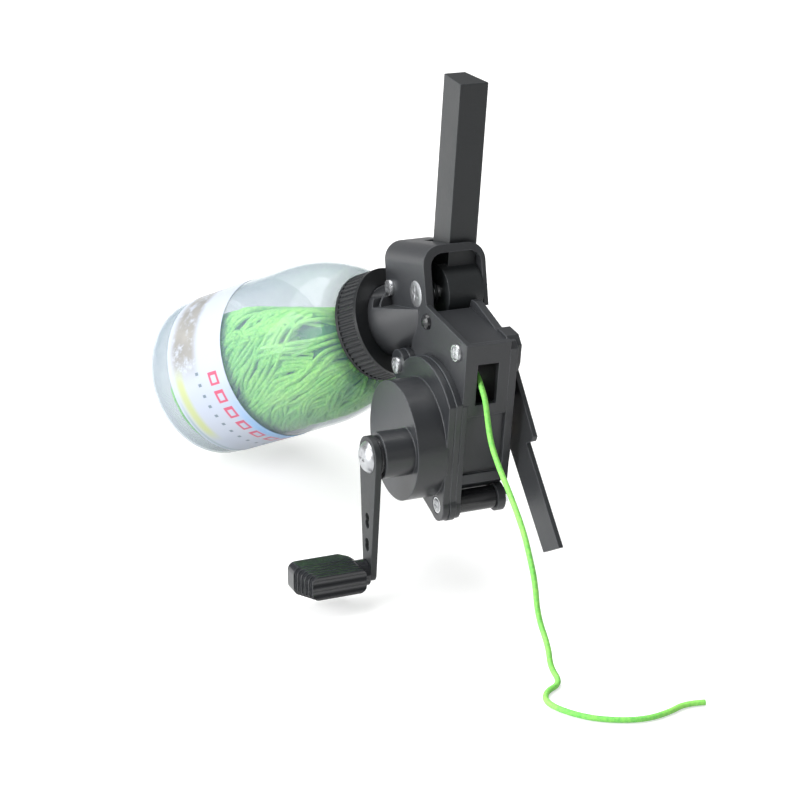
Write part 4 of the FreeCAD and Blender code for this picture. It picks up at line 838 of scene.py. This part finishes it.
def bundle(along, turn, count, steps, skin):
    """Strands side by side, which follow the heap's flow from one spot."""
    swerve = random.gauss(0.0, 0.13)
    beat, phase = random.uniform(0.35, 0.8), random.uniform(0, FULL_TURN)
    for number in range(count):
        aside = (number - (count - 1) / 2) * STRAND_SPACING
        here, angle = along + random.uniform(-4, 4), turn
        wild, spots = random.uniform(0, FULL_TURN), []
        for part in range(steps):
            lean = flow(here) + swerve
            lean += 0.24 * math.sin(beat * part + phase) + 0.09 * math.sin(1.3 * part + wild)
            reach = heap_reach(in_heap(here), angle)
            dive = max(0, 2 - part, part - steps + 3) * 0.05
            share = skin - dive + 0.012 * math.sin(1.9 * part + wild)
            sideways = aside * math.cos(lean) / reach
            spots.append(heap_spot(here + aside * math.sin(lean), angle + sideways, share))
            here += STRIDE * math.cos(lean) * math.tanh(2 * math.cos(angle - 0.2))
            angle -= STRIDE * math.sin(lean) / reach
        add_spline(loops_data, spots)


print("strands lie", STRAND_SPACING, "mm apart")

# %% [markdown]
# ## Filling the heap
# Most of the bundles go all over the heap, the first ones a little deeper than the rest, and a few
# strays stand above its crest. More are laid where it is seen from behind, and coils close its low
# end, where bundles would only show their ends. More strands would always look a little better,
# but each costs time, so there are as many as it takes to hide what lies behind them.

# %% All over the heap, with strays above the crest
BUNDLES, DEEPER_BUNDLES, STRAYS = 230, 90, 7
for number in range(BUNDLES):
    skin = 0.94 if number < DEEPER_BUNDLES else random.choice((0.97, 0.985, 1.0))
    bundle(
        random.uniform(2, 108), random.uniform(-2.9, 2.6), random.choice((2, 3, 3, 4)),
        random.choice((9, 11, 13, 15)), skin,
    )
for number in range(STRAYS):
    start, lift = random.uniform(22, 72), random.uniform(1.0, 3.5)
    spots = []
    for part in range(7):
        turn = 0.82 + 0.08 * math.sin(1.7 * part + number)
        spots.append(heap_spot(start + 4 * part, turn, 0.995, lift * math.sin(0.5 * part)))
    add_spline(loops_data, spots)
print("strands so far:", len(loops_data.splines))

# %% More on the far side, and coils across the low end
FAR_BUNDLES, COILS = 110, 44
COILS_AT = 108.5
for number in range(FAR_BUNDLES):
    bundle(
        random.uniform(45, 116), random.uniform(1.9, 4.6), random.choice((2, 3, 4)), 11,
        random.choice((0.95, 0.98, 1.0)),
    )
for number in range(COILS):
    share, phase = 0.08 + 0.02 * number, random.uniform(0, FULL_TURN)
    spots = []
    for part in range(14):
        along = COILS_AT + 2.2 * math.sin(2.3 * part + phase)
        wobble = 0.05 * math.sin(0.9 * part + number)
        spots.append(heap_spot(along, phase + 0.36 * part, share + wobble))
    add_spline(loops_data, spots)
loops = show("line_loops", loops_data, "lime_line")
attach(loops, "frame")
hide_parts("line_hank")
print("strands:", len(loops_data.splines))

# %% [markdown]
# ## The heap's dark heart
# Between the strands one looks into a dark green, which is painted shade. More strands could fill
# the middle, but nobody would see them, so a closed skin a little inside the heap stands for all of
# the inner loops, in a darker copy of the braid's finish.

# %% A closed skin inside the strands
HEART_RINGS, HEART_SIDES = 21, 32
HEART_START, RING_SPACING = 15.5, 4.6
HEART_SHARE = 0.88
mesh = bmesh.new()
rings = []
for ring in range(HEART_RINGS):
    along = HEART_START + RING_SPACING * ring
    ways = [2 * math.pi * side / HEART_SIDES for side in range(HEART_SIDES)]
    rings.append([mesh.verts.new(heap_spot(along, way, HEART_SHARE)) for way in ways])
join_rows(mesh, rings)
mesh.faces.new(rings[0])
mesh.faces.new(list(reversed(rings[-1])))
# The skin's dark green is painted shade among the inner loops.
heart = from_bmesh("line_heart", mesh, "lime_shade")
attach(heart, "frame")
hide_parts("line_core")
print("heart faces:", len(heart.data.polygons))

# %% [markdown]
# ## White floor
# The photograph's ground is pure white. More light would make any floor white, but it would wash
# out the reel too. So the floor adds a little light of its own for the rays that the camera, glass
# and polished metal send out: it reads as white there and still takes the reel's soft shadow.

# %% Floor of white paper
FLOOR_REACH = 6.0
FLOOR_GLOW = 0.56
paper = Finish("white_paper")
seen = paper.node("ShaderNodeLightPath", output="Is Camera Ray")
for ray in ("Is Glossy Ray", "Is Transmission Ray"):
    seen = seen.maths("MAXIMUM", seen, paper.node("ShaderNodeLightPath", output=ray))
paper.surface(
    base_color=rgb(0.62, 0.62, 0.62), roughness=1.0, emission_color=rgb(1, 1, 1),
    specular_ior_level=0.0, emission_strength=seen * FLOOR_GLOW,
)
floor_mesh = bpy.data.meshes.new("floor")
floor_height = cad_box[0][2] - 0.0002
ways = ((-1, -1), (1, -1), (1, 1), (-1, 1))
corners = [(FLOOR_REACH * x, FLOOR_REACH * y, floor_height) for x, y in ways]
floor_mesh.from_pydata(corners, [], [(0, 1, 2, 3)])
floor = show("floor", floor_mesh, "white_paper")
print("floor at", round(floor_height, 4), "m")

# %% [markdown]
# ## Sky and lamps
# The sky is white to the camera and much dimmer as a light, which keeps the blacks deep. A bright
# sky alone could light the reel, but black plastic shows its form only by what it mirrors. So
# three large panels give soft light, the strongest from the left, and one small lamp at the front
# left gives the short glints on edges and screw heads.

# %% White sky
SKY_LIGHT = 0.24
world = bpy.data.worlds.new("studio")
bpy.context.scene.world = world
world.use_nodes = True
sky = world.node_tree
rays = sky.nodes.new("ShaderNodeLightPath")
direct = sky.nodes.new("ShaderNodeMath")
direct.operation = "MAXIMUM"
sky.links.new(rays.outputs["Is Camera Ray"], direct.inputs[0])
sky.links.new(rays.outputs["Is Transmission Ray"], direct.inputs[1])
level = sky.nodes.new("ShaderNodeMapRange")
sky.links.new(direct.outputs[0], level.inputs["Value"])
level.inputs["To Min"].default_value = SKY_LIGHT
level.inputs["To Max"].default_value = 1.0
background = sky.nodes["Background"]
sky.links.new(level.outputs[0], background.inputs["Strength"])
background.inputs["Color"].default_value = rgb(1, 1, 1)
print("the sky lights the reel at", SKY_LIGHT)

# %% Lamps


def panel(name, where, size, power):
    """A square lamp at one point, facing the reel."""
    data = bpy.data.lights.new(name, "AREA")
    data.shape = "RECTANGLE"
    data.size = data.size_y = size
    data.energy = power
    lamp = bpy.data.objects.new(name, data)
    spot = Vector(where)
    lamp.matrix_world = Matrix.Translation(spot) @ spot.to_track_quat("Z", "Y").to_matrix().to_4x4()
    bpy.context.scene.collection.objects.link(lamp)


panel("left_panel", (-1.4, -0.12, 0.5), 1.2, 31)
panel("top_panel", (-0.3, 0.5, 1.4), 1.4, 28)
panel("front_panel", (0.5, -1.5, 0.6), 0.9, 1.2)
panel("spark_panel", (-0.75, -0.95, 0.85), 0.07, 1.4)
bpy.context.scene.view_settings.view_transform = "Standard"
print("lamps:", [item.name for item in bpy.data.lights])
